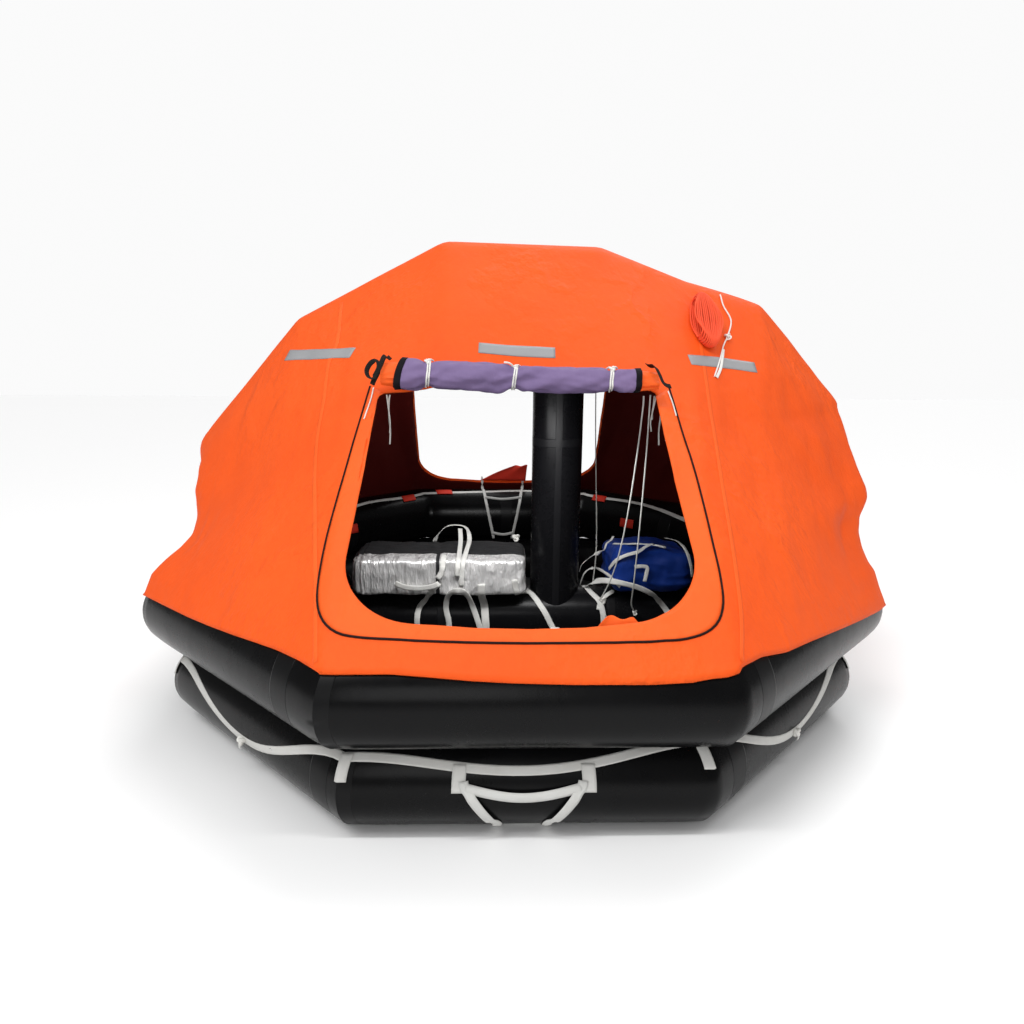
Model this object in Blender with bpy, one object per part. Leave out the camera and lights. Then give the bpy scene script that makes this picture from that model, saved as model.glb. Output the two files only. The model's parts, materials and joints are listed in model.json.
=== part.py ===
"""Inflatable life raft with two stacked tubes, an arch tube and a fabric canopy.

Metres, +Z up. The raft stands on the floor at Z = 0 with its centre at the origin.
The front doorway looks along -Y, and the arch runs from left to right over Y = 0.
"""
import bpy
import bmesh
from math import atan2, ceil, cos, floor, pi, radians, sin, sqrt
from mathutils import Matrix, Vector
from mathutils.bvhtree import BVHTree

# Driving dimensions
WIDTH = 3.32              # over the flats of the upper tube
TUBE_R = 0.18             # both floating tubes
TUBE_SIDES = 36           # facets round a floating tube, one of them flat on the floor
ARCH_R = 0.135
PILLAR_R = 0.131
THWART_R = 0.16
GAP = 0.0003              # left between pieces that touch
WALL = 0.012              # two layers of canopy fabric with the air between them

# The two floating tubes. They touch at a corner of their facets, 7.5 facets up from level.
FACET = 2 * pi / TUBE_SIDES
FACET_IN = TUBE_R * cos(FACET / 2)
STACK_ANGLE = 7.5 * FACET
STACK = 2 * TUBE_R + GAP
LOW_Z = FACET_IN
HIGH_Z = LOW_Z + STACK * sin(STACK_ANGLE)
HIGH_A = WIDTH / 2 - FACET_IN
LOW_A = HIGH_A - STACK * cos(STACK_ANGLE)

# Floor, thwart and pillar
FLOOR_LOW = 0.080
FLOOR_TOP = 0.115
THWART_Z = FLOOR_TOP + GAP + THWART_R
THWART_HALF = 1.27
PILLAR_X = 0.235
PILLAR_STATION = 3.77               # where the pillar meets the arch, in the profile's points

# Outer face of the canopy over the arch, (X, Z) from the left foot to the right foot
FOOT_Z = 0.60
PROFILE = [(-1.605, FOOT_Z), (-1.605, 1.22), (-1.07, 1.83), (-0.34, 2.20),
           (0.42, 2.18), (1.21, 1.89), (1.615, 1.43), (1.615, FOOT_Z)]
HEM_ROOM = 0.0009                    # the flat facets of the hem pass the round tube
ARCH_ROOM = 0.0022                   # the flat facets of the canopy's fold pass the round tube
PROFILE_R = ARCH_R + ARCH_ROOM + WALL

# Canopy seams. A station is a place along the profile, counted in its points.
HEM_ANGLE = radians(36)              # how far up the tube the canopy is glued
SIDE_START = 0.2                     # station of the lowest point of a side panel
SEAM_LEFT = 2.40                     # stations where the front and back strips end
SEAM_RIGHT = 4.50
SHOULDER_AT = 0.60                   # where the shoulder falls on a gore's hem
TOP_AT = (0.30, 0.70)                # where the top corners fall on a strip's hem
LEG_WRAP = radians(38)               # how far the fabric follows the arch round at its knees
WRAP_STEPS = 3
SPAN_STEPS = 7
SAG = [(0, 0.0), (0.6, 0.0), (1, 0.06), (2, 0.045), (SEAM_LEFT, 0.02), (3.5, 0.03),
       (SEAM_RIGHT, 0.02), (5, 0.02), (6, -0.02), (7, 0.0)]

# Doorways, measured on the strip: half widths and distances up the slope from the hem
DOOR_TOP = 1.235
DOOR_TOP_HALF = 0.56
DOOR_WIDE_HALF = 0.61
DOOR_SILL = 0.205
ROLL_R = 0.077
ROLL_HALF = 0.52
ROLL_AT = 1.28

# Stowed gear on the thwart
BUNDLE = ((-0.83, 0.08), (-0.21, 0.22), 0.21)
BAG = ((0.51, 0.97), (-0.19, 0.20), 0.26)

# Webbing. The boarding ladders lie on the lower tube, the inner ladder on the upper one.
WEB = 0.040
WEB_THICK = 0.004
LADDER_TOP = 32                      # degrees above level where a boarding ladder starts
LADDER_END = -62                     # and where it ends under the tube
LADDER_HALF = (0.255, 0.065)         # half widths at its two ends
LADDER_RUNGS = ((11, -3), (-50, -62))
INNER_TOP = 72
INNER_DROP = 0.375                   # height of the inner ladder's lower end
INNER_HALF = (0.165, 0.072)
INNER_X = -0.008

# Line hank on the canopy: its centre, the way up it, and its length, width and thickness
HANK_AT = (0.872, -0.285, 1.80)
HANK_UP = (0.03, 0.72, 0.68)
HANK_OUT = (0.31, -0.66, 0.68)
HANK_SIZE = (0.36, 0.17, 0.045)

# Cords: radius, then the points of the route
CORD_R = 0.0035
TIE_ROUTE = [(1.0, -0.075, 1.935), (1.006, -0.139, 1.887), (1.027, -0.20, 1.815), (0.99, -0.285, 1.745),
             (0.955, -0.345, 1.70), (0.915, -0.431, 1.631), (0.87, -0.517, 1.566)]
TAIL_ROUTE = [(0.545, -0.660, 1.488), (0.549, -0.662, 1.46), (0.55, -0.664, 1.40), (0.547, -0.662, 1.34),
              (0.55, -0.664, 1.28)]
LINE_ROUTE = [(0.530, -0.660, 1.488), (0.530, -0.655, 1.44), (0.527, -0.60, 1.24), (0.523, -0.50, 0.98),
              (0.515, -0.37, 0.73), (0.50, -0.25, 0.555), (0.475, -0.158, 0.43), (0.462, -0.118, 0.392)]
SECOND_ROUTE = [(0.560, -0.652, 1.492), (0.560, -0.648, 1.44), (0.567, -0.60, 1.22), (0.578, -0.51, 0.96),
                (0.59, -0.41, 0.72), (0.602, -0.31, 0.52), (0.615, -0.225, 0.41), (0.64, -0.185, 0.352)]

FRONT, BACK = -1, 1


def clear_scene():
    for item in list(bpy.data.objects):
        bpy.data.objects.remove(item, do_unlink=True)


def material(name, colour, roughness, metallic=0.0):
    made = bpy.data.materials.new(name)
    made.use_nodes = True
    shader = made.node_tree.nodes["Principled BSDF"]
    shader.inputs["Base Color"].default_value = (*colour, 1)
    shader.inputs["Roughness"].default_value = roughness
    shader.inputs["Metallic"].default_value = metallic
    return made


def add_object(name, mesh_maker, finish, smooth=30):
    """Put a bmesh into the scene as a named object."""
    mesh = bpy.data.meshes.new(name)
    bmesh.ops.recalc_face_normals(mesh_maker, faces=mesh_maker.faces)
    mesh_maker.to_mesh(mesh)
    mesh_maker.free()
    mesh.shade_smooth()
    mesh.set_sharp_from_angle(angle=radians(smooth))
    colour, roughness, metallic = finish
    mesh.materials.append(material(name, colour, roughness, metallic))
    made = bpy.data.objects.new(name, mesh)
    bpy.context.scene.collection.objects.link(made)
    return made


def cutter(name, mesh_maker):
    made = add_object(name, mesh_maker, BLACK)
    made.hide_render = True
    made.display_type = "WIRE"
    return made


def cut(target, tool):
    step = target.modifiers.new("Cut " + tool.name, "BOOLEAN")
    step.operation = "DIFFERENCE"
    step.solver = "EXACT"
    step.object = tool


# Finishes: colour, roughness, metallic
BLACK = ((0.012, 0.012, 0.014), 0.42, 0.0)
ORANGE = ((0.90, 0.10, 0.012), 0.62, 0.0)
PURPLE = ((0.16, 0.07, 0.20), 0.7, 0.0)
WHITE = ((0.72, 0.71, 0.66), 0.8, 0.0)
FOIL = ((0.55, 0.56, 0.57), 0.28, 0.9)
BLUE = ((0.012, 0.06, 0.34), 0.6, 0.0)
STEEL = ((0.10, 0.11, 0.10), 0.45, 0.3)
BRASS = ((0.55, 0.38, 0.16), 0.35, 0.9)
ROPE = ((0.85, 0.12, 0.03), 0.8, 0.0)


def corner(index, apothem):
    """A corner of the octagon, where corners 0 and 1 end its front side."""
    angle = radians(-112.5 + 45 * index)
    reach = apothem / cos(radians(22.5))
    return Vector((reach * cos(angle), reach * sin(angle), 0))


def round_octagon(place, apothem):
    """A point on the octagon, its place counted in sides from corner 0."""
    index = floor(place)
    return corner(index, apothem).lerp(corner(index + 1, apothem), place - index)


def on_tube(place, angle, radius, apothem, height):
    """A point beside a floating tube, at an angle above level on its outer side."""
    point = round_octagon(place, apothem + radius * cos(angle))
    point.z = height + radius * sin(angle)
    return point


def loft(rings, closed):
    """Join rings of points into a tube, closed on itself or capped at both ends."""
    made = bmesh.new()
    rows = [[made.verts.new(point) for point in ring] for ring in rings]
    count = len(rows[0])
    pairs = list(zip(rows, rows[1:]))
    if closed:
        pairs.append((rows[-1], rows[0]))
    else:
        made.faces.new(rows[0])
        made.faces.new(rows[-1])
    for row, following in pairs:
        for k in range(count):
            nearby = (k + 1) % count
            made.faces.new((row[k], row[nearby], following[nearby], following[k]))
    return made


def ring_tube(apothem, height, radius):
    """A round tube bent into a mitred octagon."""
    angles = [(k + 0.5) * FACET for k in range(TUBE_SIDES)]
    rings = [[on_tube(side, angle, radius, apothem, height) for angle in angles] for side in range(8)]
    return loft(rings, closed=True)


def cylinder(start, end, radius, sides):
    start = Vector(start)
    axis = Vector(end) - start
    made = bmesh.new()
    turn = axis.to_track_quat("Z", "Y").to_matrix().to_4x4()
    place = Matrix.Translation(start + axis / 2) @ turn
    bmesh.ops.create_cone(made, cap_ends=True, segments=sides, radius1=radius, radius2=radius,
                          depth=axis.length, matrix=place)
    return made


def rounded_box(x_span, y_span, z_span, radius, segments=2):
    sizes = [b - a for a, b in (x_span, y_span, z_span)]
    middle = [(a + b) / 2 for a, b in (x_span, y_span, z_span)]
    made = bmesh.new()
    bmesh.ops.create_cube(made, size=1, matrix=Matrix.Translation(middle) @ Matrix.Diagonal((*sizes, 1)))
    bmesh.ops.bevel(made, geom=list(made.edges), offset=radius, offset_type="OFFSET", segments=segments,
                    profile=0.5, affect="EDGES", clamp_overlap=True)
    return made


# The arch and the canopy over it

def profile_point(station, inset):
    """A point on the arch's profile moved in from the canopy's outer face, mitred at its corners."""
    spots = [Vector((x, 0, z)) for x, z in PROFILE]
    index = min(int(station), len(spots) - 2)

    def moved(k):
        normals = []
        for a, b in ((k - 1, k), (k, k + 1)):
            if a >= 0 and b < len(spots):
                along = (spots[b] - spots[a]).normalized()
                normals.append(Vector((-along.z, 0, along.x)))
        outward = sum(normals, Vector()).normalized()
        return spots[k] - outward * inset / outward.dot(normals[0])

    return moved(index).lerp(moved(index + 1), station - index)


def profile_normal(station):
    near = 0.02
    low = profile_point(max(0, station - near), 0)
    high = profile_point(min(len(PROFILE) - 1, station + near), 0)
    along = (high - low).normalized()
    return Vector((-along.z, 0, along.x))


def round_arch(station, angle, radius, side):
    """A point beside the arch, at an angle from its outer side towards the front or back."""
    point = profile_point(station, PROFILE_R - radius * cos(angle))
    point.y = side * radius * sin(angle)
    return point


def sag_at(station):
    for (low, low_sag), (high, high_sag) in zip(SAG, SAG[1:]):
        if station <= high:
            return low_sag + (high_sag - low_sag) * (station - low) / (high - low)
    return SAG[-1][1]


def canopy_column(place, station, depth, side):
    """Points from the ridge to the hem on the canopy's outer face, or at a depth below it."""
    arch_r = PROFILE_R - depth
    tube_r = TUBE_R + HEM_ROOM + WALL - depth
    arch_spot = profile_point(station, PROFILE_R)
    tube_spot = round_octagon(place, HIGH_A) + Vector((0, 0, HIGH_Z))
    tube_spot.y = -abs(tube_spot.y)
    reach = tube_spot - arch_spot
    outward = Vector((tube_spot.x, tube_spot.y, 0)).normalized()
    normal = profile_normal(station)
    off_arch = 0.0
    if abs(reach.y) > 0.00001:
        least = LEG_WRAP * min(station, len(PROFILE) - 1 - station, 1)
        off_arch = max(atan2(-reach.dot(normal), abs(reach.y)), least)
    onto_tube = max(atan2(reach.dot(outward), -reach.z), HEM_ANGLE + 0.05)
    sag_way = -(normal * cos(off_arch) + Vector((0, -sin(off_arch), 0)) + outward * cos(onto_tube)
                + Vector((0, 0, sin(onto_tube)))).normalized()
    points = [round_arch(station, off_arch * k / WRAP_STEPS, arch_r, FRONT) for k in range(WRAP_STEPS)]
    start = round_arch(station, off_arch, arch_r, FRONT)
    end = on_tube(place, onto_tube, tube_r, HIGH_A, HIGH_Z)
    for k in range(SPAN_STEPS + 1):
        share = k / SPAN_STEPS
        slack = min(max((k - 1) / (SPAN_STEPS - 2), 0), 1)
        points.append(start.lerp(end, share) + sag_way * sag_at(station) * sin(pi * slack) ** 2)
    for k in range(1, WRAP_STEPS + 1):
        angle = onto_tube + (HEM_ANGLE - onto_tube) * k / WRAP_STEPS
        points.append(on_tube(place, angle, tube_r, HIGH_A, HIGH_Z))
    if side == BACK:
        points = [Vector((p.x, -p.y, p.z)) for p in points]
    return points


def drawn_in(grid, first_column, last_column, first_row):
    """Pull the seam edges of a grid of points in by half a gap."""
    def nudge(point, inner):
        return point + (inner - point).normalized() * GAP

    grid = [list(column) for column in grid]
    if first_column:
        grid[0] = [nudge(p, q) for p, q in zip(grid[0], grid[1])]
    if last_column:
        grid[-1] = [nudge(p, q) for p, q in zip(grid[-1], grid[-2])]
    if first_row:
        for column in grid:
            column[0] = nudge(column[0], column[1])
    return grid


def panel(columns, side, walls):
    """A canopy panel between two seams. Walls close its first, last, ridge and hem edges."""
    outer = drawn_in([canopy_column(p, s, 0, side) for p, s in columns], *walls)
    inner = drawn_in([canopy_column(p, s, WALL, side) for p, s in columns], *walls)
    made = bmesh.new()
    faces = [[[made.verts.new(p) for p in column] for column in grid] for grid in (outer, inner)]
    across = len(outer)
    down = len(outer[0])
    for grid in faces:
        for i in range(across - 1):
            for j in range(down - 1):
                made.faces.new((grid[i][j], grid[i + 1][j], grid[i + 1][j + 1], grid[i][j + 1]))
    top, low = faces

    def wall(path):
        for (i, j), (m, n) in zip(path, path[1:]):
            made.faces.new((top[i][j], top[m][n], low[m][n], low[i][j]))

    wall([(i, down - 1) for i in range(across)])
    if walls[0]:
        wall([(0, j) for j in range(down)])
    if walls[1]:
        wall([(across - 1, j) for j in range(down)])
    if walls[2]:
        wall([(i, 0) for i in range(across)])
    return made


def spread(stops, steps):
    """Evenly filled columns between stops of (place on the hem, station on the arch)."""
    columns = [stops[0]]
    for (place, station), (next_place, next_station), count in zip(stops, stops[1:], steps):
        for k in range(1, count + 1):
            share = k / count
            columns.append((place + (next_place - place) * share, station + (next_station - station) * share))
    return columns


def strip_frame(side):
    """Origin at the strip's hem, across it, up its slope and out of it."""
    column = canopy_column(0.5, 3.5, 0, FRONT)
    up = (column[WRAP_STEPS] - column[WRAP_STEPS + SPAN_STEPS]).normalized()
    foot = column[WRAP_STEPS + SPAN_STEPS] - up * 0.02
    across = Vector((1, 0, 0))
    out = across.cross(up)
    place = Matrix((across, up, out)).transposed().to_4x4()
    place.translation = foot
    if side == BACK:
        place = Matrix.Rotation(pi, 4, "Z") @ place
    return place


def arc_points(centre, radius, start, end, steps):
    return [(centre[0] + radius * cos(radians(start + (end - start) * k / steps)),
             centre[1] + radius * sin(radians(start + (end - start) * k / steps))) for k in range(steps + 1)]


def doorway_outline():
    """The right half from the sill's middle to the top's middle, then its mirror image."""
    round_low = 0.27
    round_top = 0.05
    half = [(0.0, DOOR_SILL), (0.18, DOOR_SILL + 0.005)]
    half += arc_points((DOOR_WIDE_HALF - round_low, DOOR_SILL + 0.02 + round_low), round_low, -80, 0, 6)
    half += arc_points((DOOR_TOP_HALF - round_top, DOOR_TOP - round_top), round_top, 0, 90, 3)
    half.append((0.0, DOOR_TOP))
    return half + [(-x, y) for x, y in reversed(half[1:-1])]


def doorway_cutter(name, side):
    """A prism through the strip in the shape of the doorway."""
    place = strip_frame(side)
    rings = [[place @ Vector((x, y, z)) for x, y in doorway_outline()] for z in (-0.12, 0.10)]
    return cutter(name, loft(rings, closed=False))


def build_canopy():
    for name, side in (("front", FRONT), ("back", BACK)):
        strip = spread([(0, SEAM_LEFT), (TOP_AT[0], 3), (TOP_AT[1], 4), (1, SEAM_RIGHT)], (3, 4, 3))
        made = add_object("canopy_" + name, panel(strip, side, (True, True, True)), ORANGE)
        cut(made, doorway_cutter("doorway_" + name, side))
        left = spread([(-1, 1), (SHOULDER_AT - 1, 2), (0, SEAM_LEFT)], (4, 3))
        add_object("canopy_gore_%s_left" % name, panel(left, side, (True, True, True)), ORANGE)
        right = spread([(1, SEAM_RIGHT), (2 - SHOULDER_AT, 5), (2, 6)], (3, 4))
        add_object("canopy_gore_%s_right" % name, panel(right, side, (True, True, True)), ORANGE)
    sides = {"left": [(-1.5, SIDE_START), (-1, 1)], "right": [(2.5, 7 - SIDE_START), (2, 6)]}
    for name, stops in sides.items():
        made = panel(spread(stops, (6,)), FRONT, (False, True, False))
        copy = bmesh.ops.duplicate(made, geom=list(made.verts) + list(made.edges) + list(made.faces))
        twins = [item for item in copy["geom"] if isinstance(item, bmesh.types.BMVert)]
        for vert in twins:
            vert.co.y = -vert.co.y
        bmesh.ops.remove_doubles(made, verts=list(made.verts), dist=0.00005)
        add_object("canopy_side_" + name, made, ORANGE)


def arch_tube(radius):
    angles = [2 * pi * k / 24 for k in range(24)]
    rings = [[round_arch(station, angle, radius, FRONT) for angle in angles] for station in range(len(PROFILE))]
    return loft(rings, closed=False)


def build_structure():
    add_object("lower_tube", ring_tube(LOW_A, LOW_Z, TUBE_R), BLACK)
    add_object("upper_tube", ring_tube(HIGH_A, HIGH_Z, TUBE_R), BLACK)
    low_cut = cutter("lower_tube_room", ring_tube(LOW_A, LOW_Z, TUBE_R + GAP))
    high_cut = cutter("upper_tube_room", ring_tube(HIGH_A, HIGH_Z, TUBE_R + GAP))
    arch_cut = cutter("arch_room", arch_tube(ARCH_R + GAP))
    thwart_room = cylinder((-2, 0, THWART_Z), (2, 0, THWART_Z), THWART_R + GAP, 32)
    thwart_cut = cutter("thwart_room", thwart_room)

    deck = [[on_tube(side, 0, 0, LOW_A, z) for side in range(8)] for z in (FLOOR_LOW, FLOOR_TOP)]
    made = add_object("floor", loft(deck, closed=False), BLACK)
    cut(made, low_cut)

    made = add_object("thwart", cylinder((-THWART_HALF, 0, THWART_Z), (THWART_HALF, 0, THWART_Z), THWART_R, 32), BLACK)
    cut(made, low_cut)
    cut(made, high_cut)

    made = add_object("arch", arch_tube(ARCH_R), BLACK)
    cut(made, high_cut)

    top = profile_point(PILLAR_STATION, PROFILE_R).z
    made = add_object("pillar", cylinder((PILLAR_X, 0, THWART_Z), (PILLAR_X, 0, top), PILLAR_R, 28), BLACK)
    cut(made, thwart_cut)
    cut(made, arch_cut)


def settled(points, radius, way, surface):
    """Move a round piece's axis along a direction until it lies one gap off a surface."""
    points = list(points)
    for _ in range(12):
        nearest = min(surface.find_nearest(p)[3] for p in points)
        points = [p + way * (radius + 2 * GAP - nearest) for p in points]
    return points


def build_door_rolls():
    for name, side in (("front", FRONT), ("back", BACK)):
        place = strip_frame(side)
        way = (place.to_3x3() @ Vector((0, 0, 1))).normalized()
        axis = [place @ Vector((ROLL_HALF * (k / 30 - 1), ROLL_AT, ROLL_R + 0.02)) for k in range(61)]
        panel_mesh = bpy.data.objects["canopy_" + name].data
        surface = BVHTree.FromPolygons([v.co for v in panel_mesh.vertices], [p.vertices for p in panel_mesh.polygons])
        axis = settled(axis, ROLL_R, way, surface)
        add_object("door_roll_" + name, cylinder(axis[0], axis[-1], ROLL_R, 28), PURPLE)


def build_gear():
    rest = THWART_Z + THWART_R + GAP
    for name, (x_span, y_span, high), finish, soft in (("foil_bundle", BUNDLE, FOIL, 0.05),
                                                       ("blue_bag", BAG, BLUE, 0.06)):
        add_object(name, rounded_box(x_span, y_span, (rest, rest + high), soft), finish)


def ribbon_ring(height_at, radius, apothem, centre_z, steps, inner):
    """Webbing lying round a floating tube, its height given along each side."""
    rings = []
    inward = radius / cos(WEB / 4 / radius) + 4 * GAP
    for k in range(8 * steps):
        place = k / steps
        level = height_at(k // steps, place % 1) - centre_z
        angle = atan2(level, sqrt(max(radius ** 2 - level ** 2, 0)))
        if inner:
            angle = pi - angle
        spread_angle = WEB / 2 / radius
        angles = [angle - spread_angle, angle, angle + spread_angle]
        ring = [on_tube(place, a, inward, apothem, centre_z) for a in angles]
        ring += [on_tube(place, a, inward + WEB_THICK, apothem, centre_z) for a in reversed(angles)]
        rings.append(ring)
    return loft(rings, closed=True)


def build_lines():
    def outer_line(side, share):
        slack = 0.016 if side in (0, 4) else 0.12
        return 0.283 - slack * sin(pi * share) ** 2

    def inner_line(side, share):
        heights = [0.635, 0.635, 0.585, 0.585, 0.635, 0.635, 0.585, 0.585, 0.635]
        rise = 0.05 if side in (0, 4) else -0.03
        return heights[side] + (heights[side + 1] - heights[side]) * share + rise * sin(pi * share) ** 2

    add_object("lifeline", ribbon_ring(outer_line, TUBE_R, LOW_A, LOW_Z, 14, False), WHITE)
    add_object("grab_line", ribbon_ring(inner_line, TUBE_R, HIGH_A, HIGH_Z, 10, True), WHITE)


def lattice(path, half_widths, middle, rungs):
    """Two straps along a path with rungs between them, as one thin closed piece.

    The path holds (height, depth) spots as vectors with their outward normals.
    """
    count = len(path)
    filled = {(i, j) for i in range(count - 1) for j in (0, 2)}
    filled |= {(i, 1) for first, last in rungs for i in range(first, last)}
    made = bmesh.new()
    layers = []
    for lift in (0, WEB_THICK):
        rows = []
        for i, (spot, normal) in enumerate(path):
            half = half_widths[0] + (half_widths[1] - half_widths[0]) * i / (count - 1)
            rows.append([made.verts.new(spot + normal * lift + Vector((middle + x, 0, 0)))
                         for x in (-half, WEB - half, half - WEB, half)])
        layers.append(rows)
    low, high = layers
    for i, j in filled:
        loop = [(i, j), (i + 1, j), (i + 1, j + 1), (i, j + 1)]
        made.faces.new([low[a][b] for a, b in loop])
        made.faces.new([high[a][b] for a, b in reversed(loop)])
        beside = [(i, j - 1), (i + 1, j), (i, j + 1), (i - 1, j)]
        for (a, b), (c, d), neighbour in zip(loop, loop[1:] + loop[:1], beside):
            if neighbour not in filled:
                made.faces.new((low[a][b], low[c][d], high[c][d], high[a][b]))
    return made


def tube_path(apothem, height, lift, start, end, steps, side):
    """Spots and normals down the front or back of a floating tube, angles in degrees above level."""
    step = radians(abs(end - start) / steps)
    radius = TUBE_R / cos(step / 2) + lift
    path = []
    for k in range(steps + 1):
        angle = radians(start + (end - start) * k / steps)
        normal = Vector((0, side * cos(angle), sin(angle)))
        path.append((Vector((0, side * apothem, height)) + normal * radius, normal))
    return path


def build_ladders():
    steps = 16
    per_row = (LADDER_TOP - LADDER_END) / steps
    rows = [[round((LADDER_TOP - angle) / per_row) for angle in rung] for rung in LADDER_RUNGS]
    clear = WEB_THICK + 6 * GAP           # the ladder lies over the lifeline
    for name, side in (("front", FRONT), ("back", BACK)):
        path = tube_path(LOW_A, LOW_Z, clear, LADDER_TOP, LADDER_END, steps, side)
        add_object("boarding_ladder_" + name, lattice(path, LADDER_HALF, -0.015, rows), WHITE)

    steps = 18
    path = tube_path(HIGH_A, HIGH_Z, clear, INNER_TOP, 180, steps, BACK)
    spot, normal = path[-1]
    hang = 4
    for k in range(1, hang + 1):
        path.append((spot + Vector((0, 0, (INNER_DROP - spot.z) * k / hang)), normal))
    rungs = [(9, 11), (steps + hang - 2, steps + hang - 1)]
    add_object("inner_ladder_back", lattice(path, INNER_HALF, INNER_X, rungs), WHITE)


def surface_of(names):
    """The faces of some pieces as they stand now, for laying others on them."""
    points = []
    faces = []
    for name in names:
        mesh = bpy.data.objects[name].data
        base = len(points)
        points += [v.co.copy() for v in mesh.vertices]
        faces += [[base + k for k in face.vertices] for face in mesh.polygons]
    return BVHTree.FromPolygons(points, faces)


def smooth_route(points, spacing):
    """Evenly spaced points along a smooth curve through the route's points."""
    spots = [Vector(p) for p in points]
    spots = [2 * spots[0] - spots[1]] + spots + [2 * spots[-1] - spots[-2]]
    fine = []
    for a, b, c, d in zip(spots, spots[1:], spots[2:], spots[3:]):
        for k in range(20):
            t = k / 20
            fine.append(0.5 * (2 * b + (c - a) * t + (2 * a - 5 * b + 4 * c - d) * t ** 2
                               + (3 * b - a - 3 * c + d) * t ** 3))
    fine.append(spots[-2])
    total = sum((b - a).length for a, b in zip(fine, fine[1:]))
    count = ceil(total / spacing)
    even = [fine[0]]
    travelled = 0.0
    for a, b in zip(fine, fine[1:]):
        step = (b - a).length
        while len(even) < count and travelled + step >= len(even) * total / count:
            even.append(a.lerp(b, (len(even) * total / count - travelled) / step))
        travelled += step
    even.append(fine[-1])
    return even


def cord(name, points, finish):
    curve = bpy.data.curves.new(name, "CURVE")
    curve.dimensions = "3D"
    curve.bevel_depth = CORD_R
    curve.bevel_resolution = 2
    curve.use_fill_caps = True
    spline = curve.splines.new("POLY")
    spline.points.add(len(points) - 1)
    for spot, point in zip(spline.points, points):
        spot.co = (*point, 1)
    colour, roughness, metallic = finish
    curve.materials.append(material(name, colour, roughness, metallic))
    made = bpy.data.objects.new(name, curve)
    bpy.context.scene.collection.objects.link(made)


def laid(points, surface, out):
    """Lower points onto a surface from outside, a cord's radius and a gap off it."""
    rest = []
    for point in points:
        spot, normal, _, _ = surface.ray_cast(point + out * 0.2, -out)
        rest.append(spot + normal * (CORD_R + 2 * GAP))
    return rest


def tied(points, start, end=None):
    """Shift a cord's ends onto the pieces that hold them, and the points between with them."""
    shifts = []
    for point, after, surface in ((points[0], points[1], start), (points[-1], points[-2], end)):
        shift = Vector()
        for _ in range(4 if surface else 0):
            spot, _, _, distance = surface.find_nearest(point + shift)
            way = (spot - point - shift).normalized()
            slant = way.dot((after - point).normalized())
            shift += way * (distance - CORD_R * sqrt(1 - slant ** 2) - 1.3 * GAP)
        shifts.append(shift)
    last = len(points) - 1
    return [p + shifts[0].lerp(shifts[1], k / last) for k, p in enumerate(points)]


def build_cords():
    spacing = 0.018
    gore = surface_of(["canopy_gore_front_right"])
    out = Vector(HANK_OUT).normalized()
    cord("hank_tie", laid(smooth_route(TIE_ROUTE, spacing), gore, out), WHITE)

    near = gore.ray_cast(Vector(HANK_AT) + out * 0.2, -out)[0]
    across = Vector(HANK_UP).cross(out).normalized()
    up = out.cross(across)
    length, width, thick = HANK_SIZE
    made = bmesh.new()
    bmesh.ops.create_uvsphere(made, u_segments=20, v_segments=12, radius=0.5)
    turn = Matrix((across, up, out)).transposed().to_4x4()
    for vert in made.verts:
        x, y, z = vert.co
        vert.co = near + (turn @ Vector((x * width, y * length, z * thick)))
    surface = surface_of(["canopy_gore_front_right", "canopy_front"])
    hits = [(v, surface.ray_cast(v.co + out * 0.2, -out)[0]) for v in made.verts]
    depth = min((v.co - spot).dot(out) for v, spot in hits if spot is not None)
    bmesh.ops.translate(made, verts=made.verts, vec=out * (3 * GAP - depth))
    for _ in range(4):
        nearest = min(surface.find_nearest(v.co)[3] for v in made.verts)
        bmesh.ops.translate(made, verts=made.verts, vec=out * (1.3 * GAP - nearest))
    add_object("line_hank", made, ROPE)

    front = surface_of(["canopy_front", "door_roll_front"])
    back = surface_of(["canopy_back", "door_roll_back"])
    seat = surface_of(["thwart", "blue_bag"])
    left = [(-x, y, z) for x, y, z in TAIL_ROUTE]
    right = [(x + 0.055, y, z) for x, y, z in TAIL_ROUTE]
    cord("door_tail_left", tied(smooth_route(left, spacing), front), WHITE)
    cord("door_tail_right", tied(smooth_route(right, spacing), front), WHITE)
    cord("entry_line_front", tied(smooth_route(LINE_ROUTE, spacing), front, seat), WHITE)
    cord("entry_line_second", tied(smooth_route(SECOND_ROUTE, spacing), front, seat), WHITE)
    mirrored = [(x, -y, z) for x, y, z in LINE_ROUTE]
    cord("entry_line_back", tied(smooth_route(mirrored, spacing), back, seat), WHITE)


def build_underside():
    spots = [(-0.62, -0.62), (0.62, -0.62), (0.62, 0.62), (-0.62, 0.62)]
    for number, (x, y) in enumerate(spots, 1):
        box = rounded_box((x - 0.25, x + 0.25), (y - 0.18, y + 0.18), (0.006, FLOOR_LOW - GAP), 0.012)
        add_object("ballast_pocket_%d" % number, box, BLACK)


def build_cylinder():
    """The gas cylinder lies beside the tube on the back right side."""
    radius = 0.070
    centre_z = 0.078
    distance = TUBE_R + radius - 0.0004      # both are faceted, so their flats come this much closer
    apothem = LOW_A + sqrt(distance ** 2 - (LOW_Z - centre_z) ** 2)
    ends = [round_octagon(place, apothem) + Vector((0, 0, centre_z)) for place in (3.25, 3.75)]
    add_object("gas_cylinder", cylinder(ends[0], ends[1], radius, 24), STEEL)
    along = (ends[1] - ends[0]).normalized()
    tip = ends[1] + along * GAP
    add_object("cylinder_valve", cylinder(tip, tip + along * 0.07, 0.024, 16), BRASS)


clear_scene()
build_structure()
build_canopy()
build_door_rolls()
build_gear()
build_lines()
build_ladders()
build_cords()
build_underside()
build_cylinder()
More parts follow.
